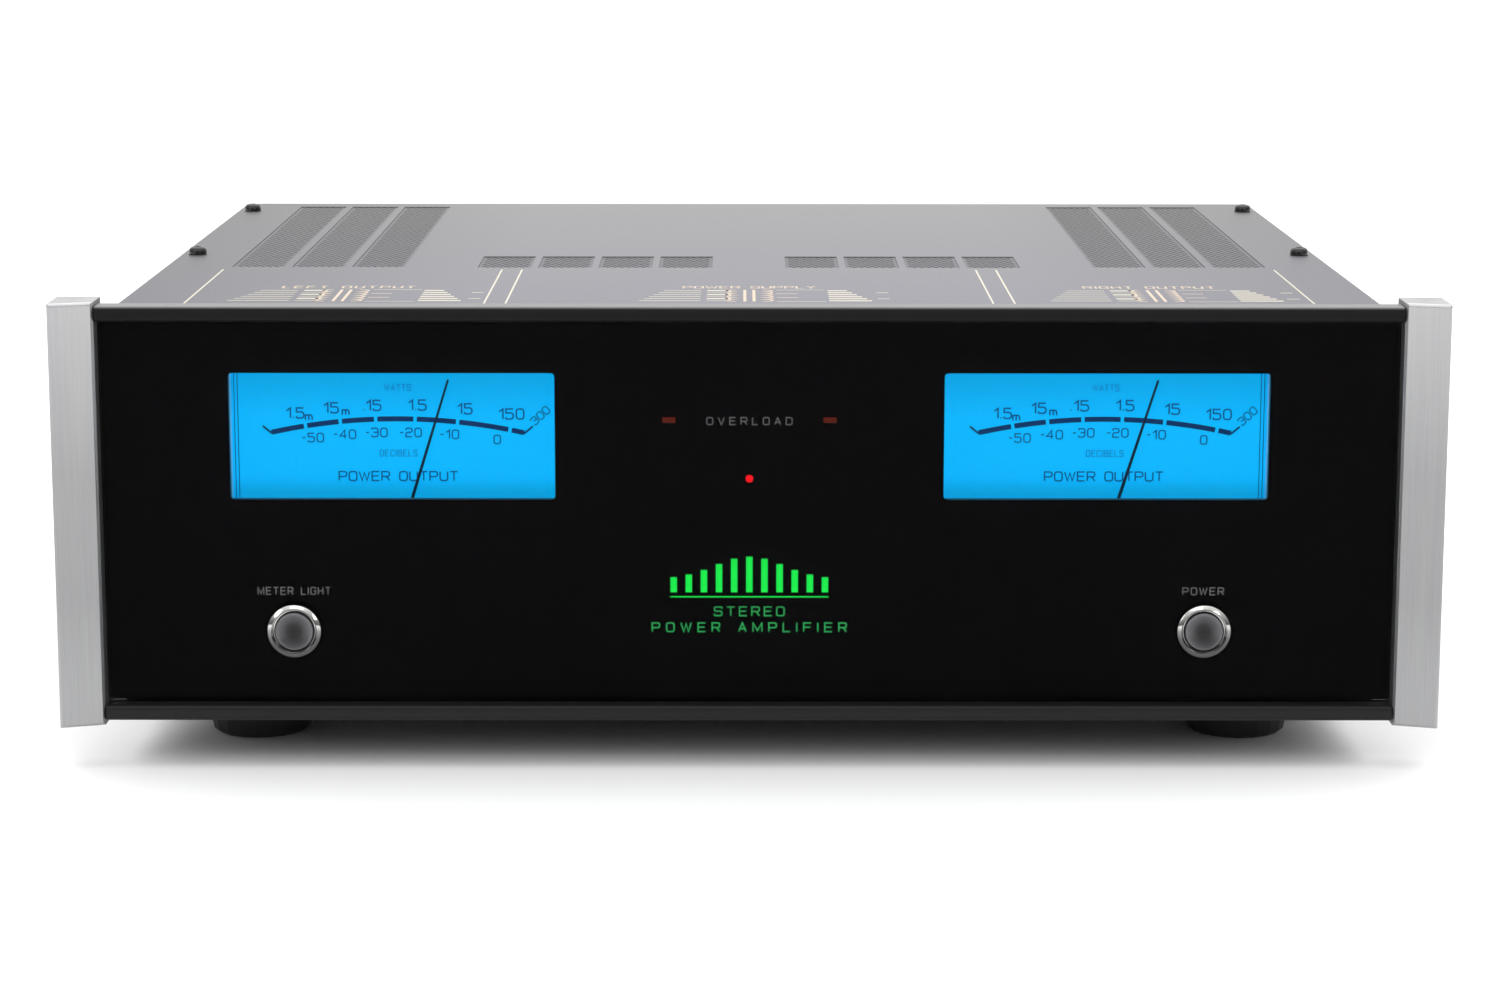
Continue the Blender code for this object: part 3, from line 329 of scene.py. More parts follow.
def cover_paint(name, value, rear_painted_light):
    """Titanium-grey satin paint with a fine orange peel and a fine random speckle. Painted light
    makes it lighter and less blue towards the rear middle, and painted shade darkens it towards the
    left and right edges, more on the left.
    """
    tint = (0.99, 0.97, 1.19)
    finish = Finish(name, grey(value, tint), 0.42, 0.25)
    peel = finish.noise(1500, detail=2.0)
    dust = finish.noise(5200, detail=1.0)
    # Painted light: lighter and less blue from front to rear, by the given factor.
    rear = finish.along("Y", -0.17, 0.16)
    painted_light_to_rear = finish.ramp(rear, [(0.0, grey(value, tint)), (1.0, grey(value * rear_painted_light, (1, 1, 1.02)))])
    # Painted shade: darker towards the left and right edges, more on the left.
    across = finish.along("X", -0.21, 0.21)
    painted_shade_across = finish.ramp(across, [(0.0, grey(0.56)), (0.3, grey(0.98)), (0.72, grey(1.0)),
                                 (1.0, grey(0.68))])
    shaded = finish.multiply(painted_light_to_rear, painted_shade_across)
    finish.colour(finish.speckled(shaded, dust, 0.88, (0.35, 0.65)))
    finish.roughness(finish.range(peel, 0.36, 0.48))
    finish.bump(peel, 0.000012, 0.5).bump(dust, 0.000008, 0.4)
    return finish.material


def glass():
    """Low-reflection front glass; the black is the print behind it."""
    finish = Finish("front_glass", (0.98, 0.98, 1.0), 0.02, Transmission_Weight=1.0, IOR=1.066)
    smear = finish.noise(35)
    finish.roughness(finish.range(smear, 0.012, 0.03))
    return finish.material


def lit(name, colour, strength, low, high, edge=0.75):
    """A diffuser lit from behind, with a fine grain, darker towards its low and high ends."""
    finish = Finish(name, grey(0.08, colour), 0.7, Emission_Strength=strength,
                    Specular_IOR_Level=0.05)
    height = finish.upward(low, high)
    dim = grey(edge, colour)
    glow = finish.ramp(height, [(0.0, dim), (0.12, colour), (0.6, colour), (1.0, dim)])
    grained = finish.speckled(glow, finish.noise(420, detail=2.0), 0.97)
    finish.link(grained, finish.shader, "Emission Color")
    return finish.material


def printed(name, colour, glow):
    """Screen print with slightly uneven ink, and enough of its own light to read through glass."""
    finish = Finish(name, colour, 0.6, Emission_Strength=glow, Specular_IOR_Level=0.1)
    ink = finish.noise(1800, detail=2.0)
    shade = finish.ramp(ink, [(0.3, grey(0.85, colour)), (0.7, colour)])
    finish.colour(shade)
    finish.link(shade, finish.shader, "Emission Color")
    return finish.material


def circuit_board():
    """Green solder mask over copper tracks, with tinned pads."""
    finish = Finish("circuit_board", (0.02, 0.12, 0.05), 0.35, Coat_Weight=0.3)
    tracks = finish.cells(260, "DISTANCE_TO_EDGE")
    pads = finish.cells(420)
    mask = finish.ramp(tracks, [(0.05, (0.05, 0.20, 0.09)), (0.12, (0.012, 0.09, 0.035))])
    tin = finish.ramp(pads, [(0.10, (0.62, 0.60, 0.55)), (0.16, (0.014, 0.10, 0.04))])
    finish.colour(finish.blend(0.35, mask, tin, "LIGHTEN"))
    finish.roughness(finish.range(tracks, 0.25, 0.5))
    finish.bump(tracks, 0.00003, 0.4)
    return finish.material


def laminated():
    """Stacked core plates in black varnish."""
    finish = Finish("laminated_core", grey(0.06), 0.42, 0.6)
    plates = finish.bands(320, "Y")
    varnish = finish.noise(220)
    finish.colour(finish.ramp(plates, [(0.2, grey(0.03)), (0.8, grey(0.11, (1, 0.97, 0.93)))]))
    finish.roughness(finish.range(varnish, 0.3, 0.55))
    finish.bump(plates, 0.00008, 0.5)
    return finish.material


def metal(name, colour, roughness):
    """Plated or polished metal with faint turning marks."""
    finish = Finish(name, colour, roughness, 1.0)
    marks = finish.noise(1200, (1, 0.2, 1))
    finish.colour(finish.ramp(marks, [(0.3, grey(0.94, colour)), (0.7, colour)]))
    finish.roughness(finish.range(marks, roughness * 0.75, roughness * 1.35))
    finish.bump(marks, 0.000004, 0.3)
    return finish.material


FINISHES = {
    "aluminium": brushed_aluminium(),
    "rail": anodised_rail(),
    "glass": glass(),
    "mask": mottled("mask_print", grey(0.0016, (1.1, 0.9, 1.1)), 0.6, grain=700,
                    Specular_IOR_Level=0.0),
    "label": printed("front_label", grey(0.12), 0.6),
    "dial": lit("meter_dial", (0.001, 0.455, 0.93), 1.0, WINDOW_LOW, WINDOW_HIGH),
    "dial_ink": printed("dial_ink", (0.0, 0.016, 0.070), 0.8),
    "dial_number": printed("dial_number", (0.0, 0.045, 0.165), 0.8),
    "dial_faint": printed("dial_faint", (0.0, 0.10, 0.34), 0.8),
    "housing": mottled("meter_housing", (0.55, 0.72, 0.85), 0.45, grain=600),
    "needle": mottled("needle_black", (0.002, 0.010, 0.035), 0.6, grain=1500,
                      Specular_IOR_Level=0.1),
    "green": lit("badge_green", (0.01, 0.80, 0.07), 1.0, 41.0, 56.0, edge=0.9),
    "green_dim": lit("title_green", (0.030, 0.42, 0.10), 1.0, 28.0, 38.0),
    "panel_light": mottled("light_panel", (0.35, 0.45, 0.38), 0.5, grain=500),
    "guard": lit("guard_lamp", (0.10, 0.012, 0.006), 1.0, 97.0, 101.0),
    "status": lit("status_lamp", (0.95, 0.006, 0.010), 1.1, 78.0, 82.0),
    "chrome": bezel_chrome(),
    "button": satin_button(),
    "paint": cover_paint("cover_paint", 0.160, 1.22),
    # The vent grilles take the cover paint at about half its value: painted shade of the perforated
    # fields.
    "grille": cover_paint("grille_shaded_paint", 0.085, 1.12),
    "cover_print": printed("cover_print", (0.68, 0.64, 0.53), 0.0),
    "cover_wire": printed("cover_wire", (0.66, 0.55, 0.44), 0.0),
    "screw": mottled("screw_black", grey(0.010), 0.16, grain=2200, rough_spread=0.03),
    "steel": mottled("black_steel", grey(0.017, (1.0, 1.0, 1.05)), 0.46, 0.2, grain=1600,
                     spread=0.06, depth=0.00003, rough_spread=0.03),
    "moulded": mottled("moulded_black", grey(0.014), 0.42, grain=1300, depth=0.00003),
    "rubber": mottled("foot_rubber", grey(0.012), 0.72, grain=900, depth=0.00005, Sheen_Weight=0.1),
    "gold": metal("gold_plate", (0.86, 0.62, 0.24), 0.20),
    "zinc": metal("zinc_steel", grey(0.50, (1, 1, 0.97)), 0.34),
    "board": circuit_board(),
    "core": laminated(),
    "heatsink": mottled("heatsink_anodised", grey(0.025), 0.4, 0.5, grain=2400,
                        stretch=(1, 1, 0.05)),
    "rear_label": printed("rear_label", grey(0.62), 0.0),
}


# ---- mesh helpers


def as_mesh(name, bm, smooth=False):
    """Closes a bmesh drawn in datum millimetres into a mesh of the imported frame."""
    bmesh.ops.recalc_face_normals(bm, faces=bm.faces)
    mesh = bpy.data.meshes.new(name)
    bm.to_mesh(mesh)
    bm.free()
    mesh.transform(DATUM)
    if smooth:
        mesh.shade_smooth()
        mesh.set_sharp_from_angle(angle=math.radians(32))
    return mesh


def add_object(name, data):
    obj = bpy.data.objects.new(name, data)
    bpy.context.scene.collection.objects.link(obj)
    return obj


def piece(name, mesh, finish, body="chassis", stands_for=(), shift=(0, 0, 0)):
    """An object of that mesh, moved by shift millimetres, that rides on a body."""
    obj = add_object(name, mesh)
    if not mesh.materials:
        mesh.materials.append(FINISHES[finish])
    obj.location = Vector(shift) * MM
    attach(obj, body)
    if stands_for:
        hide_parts(*stands_for)
    return obj


def turned(name, profile, axis, centre, segments, shape=None):
    """A smooth mesh from rings of (radius, along) about an axis, closed where the first and last
    rings meet; shape(ring, angle) scales a ring's radius."""
    bm = bmesh.new()
    rings = []
    for index, (radius, along) in enumerate(profile):
        steps = segments if radius else 1
        ring = []
        for step in range(steps):
            angle = 2 * math.pi * step / segments
            reach = radius * (shape(index, angle) if shape else 1.0)
            across = (reach * math.cos(angle), reach * math.sin(angle))
            offset = (across[0], along, across[1]) if axis == "Y" else (*across, along)
            ring.append(bm.verts.new(Vector(centre) + Vector(offset)))
        rings.append(ring)
    for low, high in zip(rings, rings[1:]):
        for step in range(segments):
            ahead = (step + 1) % segments
            corners = [low[step % len(low)], low[ahead % len(low)],
                       high[ahead % len(high)], high[step % len(high)]]
            bm.faces.new(list(dict.fromkeys(corners)))
    bmesh.ops.remove_doubles(bm, verts=bm.verts, dist=SMALL)
    return as_mesh(name, bm, smooth=True)


def point_maker(bm, plane):
    """A function that gives the one vertex at a place; plane(x, y) is its 3-D point."""
    found = {}

    def vertex(x, y):
        key = (round(x, 3), round(y, 3))
        if key not in found:
            found[key] = bm.verts.new(plane(x, y))
        return found[key]

    return vertex


def hole_at(x, y, half_width, half_depth, radius=0.0):
    """A hole of a plate: low x, high x, low y, high y and corner radius."""
    return x - half_width, x + half_width, y - half_depth, y + half_depth, radius


def holed_plate(bm, ends_x, ends_y, holes, plane):
    """A plate of rectangles between grid lines, open at the holes, with rounded corners."""
    xs = grid_lines(ends_x, holes, 0)
    ys = grid_lines(ends_y, holes, 2)
    corner = point_maker(bm, plane)
    for x0, x1 in zip(xs, xs[1:]):
        for y0, y1 in zip(ys, ys[1:]):
            cx, cy = (x0 + x1) / 2, (y0 + y1) / 2
            if not any(a < cx < b and c < cy < d for a, b, c, d, _ in holes):
                bm.faces.new([corner(x0, y0), corner(x1, y0), corner(x1, y1), corner(x0, y1)])
    for x0, x1, y0, y1, radius in holes:
        if radius:
            for x, inward_x in ((x0, 1), (x1, -1)):
                for y, inward_y in ((y0, 1), (y1, -1)):
                    fill_corner(bm, corner, (x, y), (inward_x * radius, inward_y * radius))


def fill_corner(bm, corner, tip, reach):
    """A fan from the corner of a hole to the arc that rounds it."""
    steps = 5 if abs(reach[0]) < WIDE_ARC else 14
    arc = []
    for step in range(steps + 1):
        angle = math.radians(90 * step / steps)
        arc.append(corner(tip[0] + reach[0] * (1 - math.sin(angle)),
                          tip[1] + reach[1] * (1 - math.cos(angle))))
    for near, far in zip(arc, arc[1:]):
        bm.faces.new((corner(*tip), near, far))


def grid_lines(ends, holes, first):
    """The sorted coordinates of a plate's ends and of its holes' edges and corner arcs."""
    values = set(ends)
    for hole in holes:
        low, high = hole[first:first + 2]
        values.update((low, low + hole[4], high - hole[4], high))
    return sorted({round(value, 4) for value in values})


def thicken(bm, move):
    """Extrudes all faces of an open sheet into a closed plate."""
    swept = bmesh.ops.extrude_face_region(bm, geom=bm.faces[:])["geom"]
    moved = [item for item in swept if isinstance(item, bmesh.types.BMVert)]
    bmesh.ops.translate(bm, verts=moved, vec=move)


# ---- stroke letters

# Strokes on a grid 6 high: "x,y" points, "r" after a point rounds it, "z" closes the stroke.
GLYPHS = {
    "A": "0,0 2.5,6 5,0|0.85,2 4.15,2",
    "B": "0,3.1 0,0 5,0r 5,3.1r 0,3.1 0,6 4.6,6r 4.6,3.1r 3,3.1",
    "C": "5,4.3 5,6r 0,6r 0,0r 5,0r 5,1.7",
    "D": "0,0 0,6 5,6r 5,0r z",
    "E": "4.8,6 0,6 0,0 4.8,0|0,3.1 4.3,3.1",
    "F": "4.8,6 0,6 0,0|0,3.1 4.3,3.1",
    "G": "5,4.5 5,6r 0,6r 0,0r 5,0r 5,3 2.9,3",
    "H": "0,0 0,6|5,0 5,6|0,3.1 5,3.1",
    "I": "0,0 0,6",
    "L": "0,6 0,0 4.4,0",
    "M": "0,0 0,6 3,0.8 6,6 6,0",
    "N": "0,0 0,6 5,0 5,6",
    "O": "0,0r 0,6r 5,6r 5,0r z",
    "P": "0,0 0,6 5,6r 5,2.7r 0,2.7",
    "R": "0,0 0,6 5,6r 5,2.8r 0,2.8|2.9,2.8 5,0",
    "S": "5,4.6 5,6r 0,6r 0,3.1r 5,3.1r 5,0r 0,0r 0,1.4",
    "T": "0,6 5,6|2.5,6 2.5,0",
    "U": "0,6 0,0r 5,0r 5,6",
    "V": "0,6 2.5,0 5,6",
    "W": "0,6 1.8,0 3.4,5.4 5,0 6.8,6",
    "Y": "0,6 2.5,3 5,6|2.5,3 2.5,0",
    "m": "0,0 0,3.3|0,2.2 0,3.3r 4.4,3.3r 4.4,0|2.2,0 2.2,3.3",
    "0": "0,0r 0,6r 4.4,6r 4.4,0r z",
    "1": "0,4.3 2.3,6 2.3,0",
    "2": "0,4.5 0,6r 4.3,6r 4.3,3.1r 0,3.1r 0,0 4.3,0",
    "3": "0,4.8 0,6r 4.3,6r 4.3,3.1 1.2,3.1|4.3,3.1 4.3,0r 0,0r 0,1.2",
    "4": "3.4,0 3.4,6 0,1.8 4.6,1.8",
    "5": "4.2,6 0,6 0,3.6 4.3,3.6r 4.3,0r 0,0r 0,1.2",
    "8": "0,0r 0,6r 4.3,6r 4.3,0r z|0,3.1 4.3,3.1",
    ".": "0,0 0,0.7",
    "-": "0,3 2.2,3",
    " ": "",
}
SPACE_WIDTH = 3.4
GLYPH_HEIGHT = 6.0
ROUNDING = 1.7


def rounded(points, closed):
    """Rounds the marked corners of a stroke: points are (x, y, is_round)."""
    done = []
    count = len(points)
    for index, (x, y, is_round) in enumerate(points):
        here = Vector((x, y))
        if not is_round:
            done.append(here)
            continue
        before = Vector(points[index - 1][:2])
        after = Vector(points[(index + 1) % count][:2])
        reach = min(ROUNDING, (before - here).length / 2, (after - here).length / 2)
        start = here + (before - here).normalized() * reach
        end = here + (after - here).normalized() * reach
        for step in range(5):
            t = step / 4
            done.append(start * (1 - t) ** 2 + here * 2 * t * (1 - t) + end * t * t)
    tidy = [done[0]]
    for point in done[1:]:
        if (point - tidy[-1]).length > SMALL:
            tidy.append(point)
    if closed and (tidy[0] - tidy[-1]).length < SMALL:
        tidy.pop()
    return tidy


def glyph_strokes(letter):
    """The strokes of a letter as (points, closed), and its width on the grid."""
    strokes = []
    for text in filter(None, GLYPHS[letter].split("|")):
        words = text.split()
        closed = words[-1] == "z"
        points = []
        for word in words[:-1] if closed else words:
            x, y = word.rstrip("r").split(",")
            points.append((float(x), float(y), word.endswith("r")))
        strokes.append((rounded(points, closed), closed))
    width = max((p.x for line, _ in strokes for p in line), default=SPACE_WIDTH)
    return strokes, width


def text_strokes(text, height, width=None, stretch=1.0, gap=0.5):
    """Strokes of a line of text centred on the origin. Its width, if given, sets the gaps."""
    unit = height / GLYPH_HEIGHT
    letters = [glyph_strokes(letter) for letter in text]
    solid = sum(reach for _, reach in letters) * unit * stretch
    if width and len(text) > 1:
        gap = (width - solid) / (len(text) - 1)
    else:
        gap *= height
    total = solid + gap * (len(text) - 1)
    pen = -total / 2
    lines = []
    for strokes, reach in letters:
        for points, closed in strokes:
            moved = [Vector((pen + p.x * unit * stretch, p.y * unit - height / 2)) for p in points]
            lines.append((moved, closed))
        pen += reach * unit * stretch + gap
    return lines


def ribbon(bm, points, closed, width, depth, plane):
    """A flat stroke of even width with mitred corners, raised out of its plane by depth."""
    count = len(points)
    rails = []
    for index, point in enumerate(points):
        ways = []
        if closed or index:
            ways.append((point - points[index - 1]).normalized())
        if closed or index < count - 1:
            ways.append((points[(index + 1) % count] - point).normalized())
        normals = [Vector((-way.y, way.x)) for way in ways]
        mean = sum(normals, Vector((0, 0))).normalized()
        stretch = 1 / max(0.45, mean.dot(normals[0]))
        side = mean * width / 2 * stretch
        rails.append((point + side, point - side))
    rings = []
    for left, right in rails:
        corners = [(left, 0), (right, 0), (right, depth), (left, depth)]
        rings.append([bm.verts.new(plane @ Vector((*flat, out))) for flat, out in corners])
    pairs = list(zip(rings, rings[1:]))
    if closed:
        pairs.append((rings[-1], rings[0]))
    for near, far in pairs:
        for side in range(4):
            ahead = (side + 1) % 4
            bm.faces.new((near[side], near[ahead], far[ahead], far[side]))
    if not closed:
        bm.faces.new(rings[0])
        bm.faces.new(list(reversed(rings[-1])))


FACINGS = {
    "front": ((1, 0, 0), (0, 0, 1), (0, -1, 0)),
    "back": ((-1, 0, 0), (0, 0, 1), (0, 1, 0)),
    "top": ((1, 0, 0), (0, 1, 0), (0, 0, 1)),
}


def plane_at(facing, x, y, z, turn=0.0):
    """The matrix from (right, up, out) on a drawing plane to the datum's frame."""
    plane = Matrix(FACINGS[facing]).transposed().to_4x4()
    plane.translation = (x, y, z)
    return plane @ Matrix.Rotation(math.radians(turn), 4, "Z")


class Print:
    """Strokes of one ink, gathered into one mesh."""

    def __init__(self, depth=PRINT_THICKNESS):
        self.bm = bmesh.new()
        self.depth = depth

    def line(self, points, width, plane, closed=False):
        ribbon(self.bm, [Vector(p) for p in points], closed, width, self.depth, plane)

    def text(self, text, plane, height, weight, **layout):
        for points, closed in text_strokes(text, height, **layout):
            ribbon(self.bm, points, closed, weight, self.depth, plane)

    def finish(self, name, ink, slot):
        return piece(name, as_mesh(name, self.bm), ink)


# ---- the CAD nodes

# Finish, bevel width and slot of each CAD node that is shown as it is.
CARRIED = {
    "end_cap": ("aluminium", 0.35, "end_caps"),
    "rail": ("rail", 0.0, "rails"),
    "front_glass": ("glass", 0.0, "front_glass"),
    "front_carrier": ("moulded", 0.2, "black_plastic"),
    "front_board": ("board", 0.0, "circuit_board"),
    "meter_housing": ("housing", 0.2, "black_plastic"),
    "meter_dial": ("dial", 0.0, "meter_dial"),
    "meter_needle": ("needle", 0.0, "needle"),
    "meter_movement": ("zinc", 0.2, "movement"),
    "badge_light": ("panel_light", 0.3, "badge_light"),
    "guard_led": ("guard", 0.2, "guard_led"),
    "status_led": ("status", 0.2, "status_led"),
    "chassis_tray": ("steel", 0.3, "chassis"),
    "foot": ("rubber", 0.4, "feet"),
    "rear_panel": ("steel", 0.2, "rear_panel"),
    "mains_inlet": ("moulded", 0.3, "black_plastic"),
    "fuse": ("moulded", 0.2, "black_plastic"),
    "xlr": ("moulded", 0.25, "black_plastic"),
    "rca_jacks": ("gold", 0.15, "gold_contacts"),
    "mode_switch_lever": ("moulded", 0.2, "black_plastic"),
    "input_board": ("board", 0.15, "circuit_board"),
    "terminal_block": ("moulded", 0.3, "black_plastic"),
    "amp_board": ("board", 0.2, "circuit_board"),
    "supply_board": ("board", 0.2, "circuit_board"),
    "power_transformer": ("core", 0.4, "transformer_core"),
    "autoformer": ("core", 0.4, "transformer_core"),
    "heatsink": ("heatsink", 0.2, "heatsinks"),
}


def soften(obj, width, angle):
    """Bevels the edges sharper than an angle."""
    bevel = obj.modifiers.new("Bevel", "BEVEL")
    bevel.width = width * MM
    bevel.segments = 2
    bevel.limit_method = "ANGLE"
    bevel.angle_limit = math.radians(angle)
    bevel.harden_normals = True


def dress_node(name, finish, bevel, slot):
    """Gives a CAD node its material, and softens its edges with Weld and Bevel."""
    obj = NODES[name]
    obj.data.materials.clear()
    obj.data.materials.append(FINISHES[finish])
    weld = obj.modifiers.new("Weld", "WELD")
    weld.merge_threshold = 0.00001
    if bevel:
        soften(obj, bevel, 40)


def dress_nodes():
    for name in NODES:
        for start, looks in CARRIED.items():
            if name.startswith(start):
                dress_node(name, *looks)
                break


# ---- front


def add_mask():
    """Black print behind the glass, open at the meters, the lamps and the buttons."""
    holes = [hole_at(0.0, STATUS_Z, STATUS_HOLE, STATUS_HOLE, STATUS_HOLE)]
    middle, half_height = (WINDOW_LOW + WINDOW_HIGH) / 2, (WINDOW_HIGH - WINDOW_LOW) / 2
    for sign in SIDES.values():
        holes.append(hole_at(sign * METER_X, middle, WINDOW_HALF, half_height, WINDOW_CORNER))
        holes.append(hole_at(sign * GUARD_X, GUARD_Z, *GUARD_HOLE))
        holes.append(hole_at(sign * BUTTON_X, BUTTON_Z, BARREL_HOLE, BARREL_HOLE, BARREL_HOLE))
    bm = bmesh.new()
    holed_plate(bm, (-GLASS_HALF, GLASS_HALF), (GLASS_LOW, GLASS_HIGH), holes,
                lambda x, z: (x, MASK_Y[0], z))
    thicken(bm, (0, MASK_Y[1] - MASK_Y[0], 0))
    piece("glass_mask", as_mesh("glass_mask", bm), "mask")


def add_front_labels():
    """Grey words by the buttons and the guard lamps, on the back of the glass."""
    label = Print()
    places = (
        ("METER LIGHT", -BUTTON_X - 0.3, 42.8, 2.3, 23.4, 0.8),
        ("POWER", BUTTON_X, 42.8, 2.3, 13.2, 0.92),
        ("OVERLOAD", 0.0, GUARD_Z - 0.3, 2.3, 27.4, 1.0),
    )
    for text, x, z, height, width, stretch in places:
        label.text(text, plane_at("front", x, PRINT_Y, z), height, 0.31,
                   width=width, stretch=stretch)
    label.finish("front_labels", "label", "front_glass")


def add_badge():
    """Lit level-bar emblem over the lit title."""
    emblem = Print()
    base, pitch, bars = 42.4, 4.9, 11
    plane = plane_at("front", 0, PRINT_Y, 0)
    for index in range(bars):
        x = (index - (bars - 1) / 2) * pitch
        height = 4.4 + 7.4 * math.exp(-(x / 15.5) ** 2)
        emblem.line([(x, base), (x, base + height)], 2.1, plane)
    emblem.line([(-25.6, base - 1.5), (25.6, base - 1.5)], 0.45, plane)
    emblem.finish("badge_emblem", "green", "badge_light")
    title = Print()
    title.text("STEREO", plane_at("front", 0, PRINT_Y, 36.1), 2.9, 0.42, width=22.6)
    title.text("POWER AMPLIFIER", plane_at("front", 0, PRINT_Y, 30.8), 2.9, 0.42, width=63.0)
    title.finish("badge_title", "green_dim", "badge_light")


# Numbers of the dial: text, X from the meter's centre, Z, and for the top ones the height.
DIAL_TOP = (
    ("1.5", -33.6, 99.0, 3.3), ("m", -29.2, 98.2, 3.0), ("15", -21.9, 100.7, 3.3),
    ("m", -17.2, 99.9, 3.0), (".15", -8.6, 101.5, 3.3), ("1.5", 6.1, 101.6, 3.3),
    ("15", 21.5, 100.4, 3.3), ("150", 36.6, 98.7, 3.3),
)
DIAL_BOTTOM = (
    ("-50", -28.0, 90.9), ("-40", -17.6, 92.0), ("-30", -7.3, 92.6),
    ("-20", 3.8, 92.6), ("-10", 16.4, 92.0), ("0", 31.9, 90.3),
)
ARC_CENTRE_X, ARC_TOP, ARC_RADIUS = -0.6, 97.1, 189.0
ARC_ENDS = (-41.4, 40.7)
ARC_GAPS = (-30.3, -19.0, -7.5, 5.3, 19.1, 36.1)
ARC_SLIT = 0.55


def arc_point(x, offset=0.0):
    """A point of the scale's arc at an X from the meter's centre."""
    lean = math.asin((x - ARC_CENTRE_X) / ARC_RADIUS)
    reach = ARC_RADIUS + offset
    return (ARC_CENTRE_X + reach * math.sin(lean),
            ARC_TOP - ARC_RADIUS + reach * math.cos(lean))


def add_dial_print(side, sign):
    """Scale, numbers and words of one meter."""
    ink = Print(DIAL_PRINT)
    centre = sign * METER_X + DIAL_SHIFT
    plane = plane_at("front", centre, DIAL_Y, 0)
    stops = [ARC_ENDS[0], *ARC_GAPS, ARC_ENDS[1]]
    steps = 8
    for low, high in zip(stops, stops[1:]):
        start = low + (ARC_SLIT if low in ARC_GAPS else 0)
        end = high - (ARC_SLIT if high in ARC_GAPS else 0)
        points = [arc_point(start + (end - start) * step / steps) for step in range(steps + 1)]
        ink.line(points, 1.65, plane)
    for x, lean in ((ARC_ENDS[0], -1), (ARC_ENDS[1], 1)):
        foot = arc_point(x, -0.3)
        ink.line([foot, (foot[0] + lean * 2.9, foot[1] + 2.4)], 0.62, plane)
    ink.finish(f"dial_scale_{side}", "dial_ink", "meter_dial")
    number = Print(DIAL_PRINT)
    for text, x, z, height in DIAL_TOP:
        number.text(text, plane_at("front", centre + x, DIAL_Y, z), height, 0.5, gap=0.3)
    for text, x, z in DIAL_BOTTOM:
        number.text(text, plane_at("front", centre + x, DIAL_Y, z), 2.8, 0.42, gap=0.32)
    number.text("300", plane_at("front", centre + 46.0, DIAL_Y, 98.2, 43), 2.5, 0.38, gap=0.26)
    number.text("POWER OUTPUT", plane_at("front", centre - 0.4, DIAL_Y, 78.2), 2.95, 0.46,
                width=38.6)
    for inset in (52.3, 51.2):
        x = sign * inset - DIAL_SHIFT
        number.line([(x, WINDOW_LOW - 5.0), (x, WINDOW_HIGH + 1.5)], 0.3, plane)
    number.finish(f"dial_numbers_{side}", "dial_number", "meter_dial")
    faint = Print(DIAL_PRINT)
    faint.text("WATTS", plane_at("front", centre - 0.2, DIAL_Y, 107.4), 2.0, 0.3,
               width=8.6, stretch=0.74)
    faint.text("DECIBELS", plane_at("front", centre - 0.2, DIAL_Y, 85.8), 2.0, 0.3,
               width=12.0, stretch=0.66)
    faint.finish(f"dial_words_{side}", "dial_faint", "meter_dial")


def add_button(name, sign):
    """Polished stepped bezel and the satin cap inside it."""
    centre = (sign * BUTTON_X, 10.0, BUTTON_Z)
    bore = BUTTON_RADIUS + 0.3
    rim = BEZEL_RADIUS
    profile = [
        (bore, 11.0), (bore, -0.9), (bore + 0.1, -1.05), (bore + 0.4, -1.1),
        (bore + 0.5, -1.45), (bore + 0.65, -1.6), (bore + 0.8, -1.65), (bore + 0.88, -2.4),
        (bore + 1.0, -2.52), (rim - 0.3, -2.12), (rim - 0.1, -1.98), (rim, -1.75),
        (rim, -0.3), (BARREL_RADIUS, -0.3), (BARREL_RADIUS, 11.0), (bore, 11.0),
    ]
    ring = f"{name}_bezel_ring"
    piece(ring, turned(ring, profile, "Y", centre, 72), "chrome",
          stands_for=(f"{name}_bezel",))
    r = BUTTON_RADIUS
    profile = [
        (0, -1.55), (1.2, -1.57), (2.6, -1.68), (3.9, -1.9), (4.9, -2.16), (5.5, -2.32),
        (5.85, -2.33), (6.05, -2.2), (r, -1.9), (r, 6.0), (2.0, 6.0), (2.0, 16.2), (0, 16.2),
    ]
    cap, node = f"{name}_cap", f"{name}_button"
    piece(cap, turned(cap, profile, "Y", centre, 72), "button", body=node,
          stands_for=(node,))


# ---- cover


def vent_holes():
    """The fourteen vent fields as holes of the cover."""
    holes = []
    for vents in (LONG_VENTS, SHORT_VENTS):
        width, depth = vents["size"]
        for x in vents["x"]:
            holes += [hole_at(sign * x, vents["y"], width / 2, depth / 2)
                      for sign in SIDES.values()]
    return holes


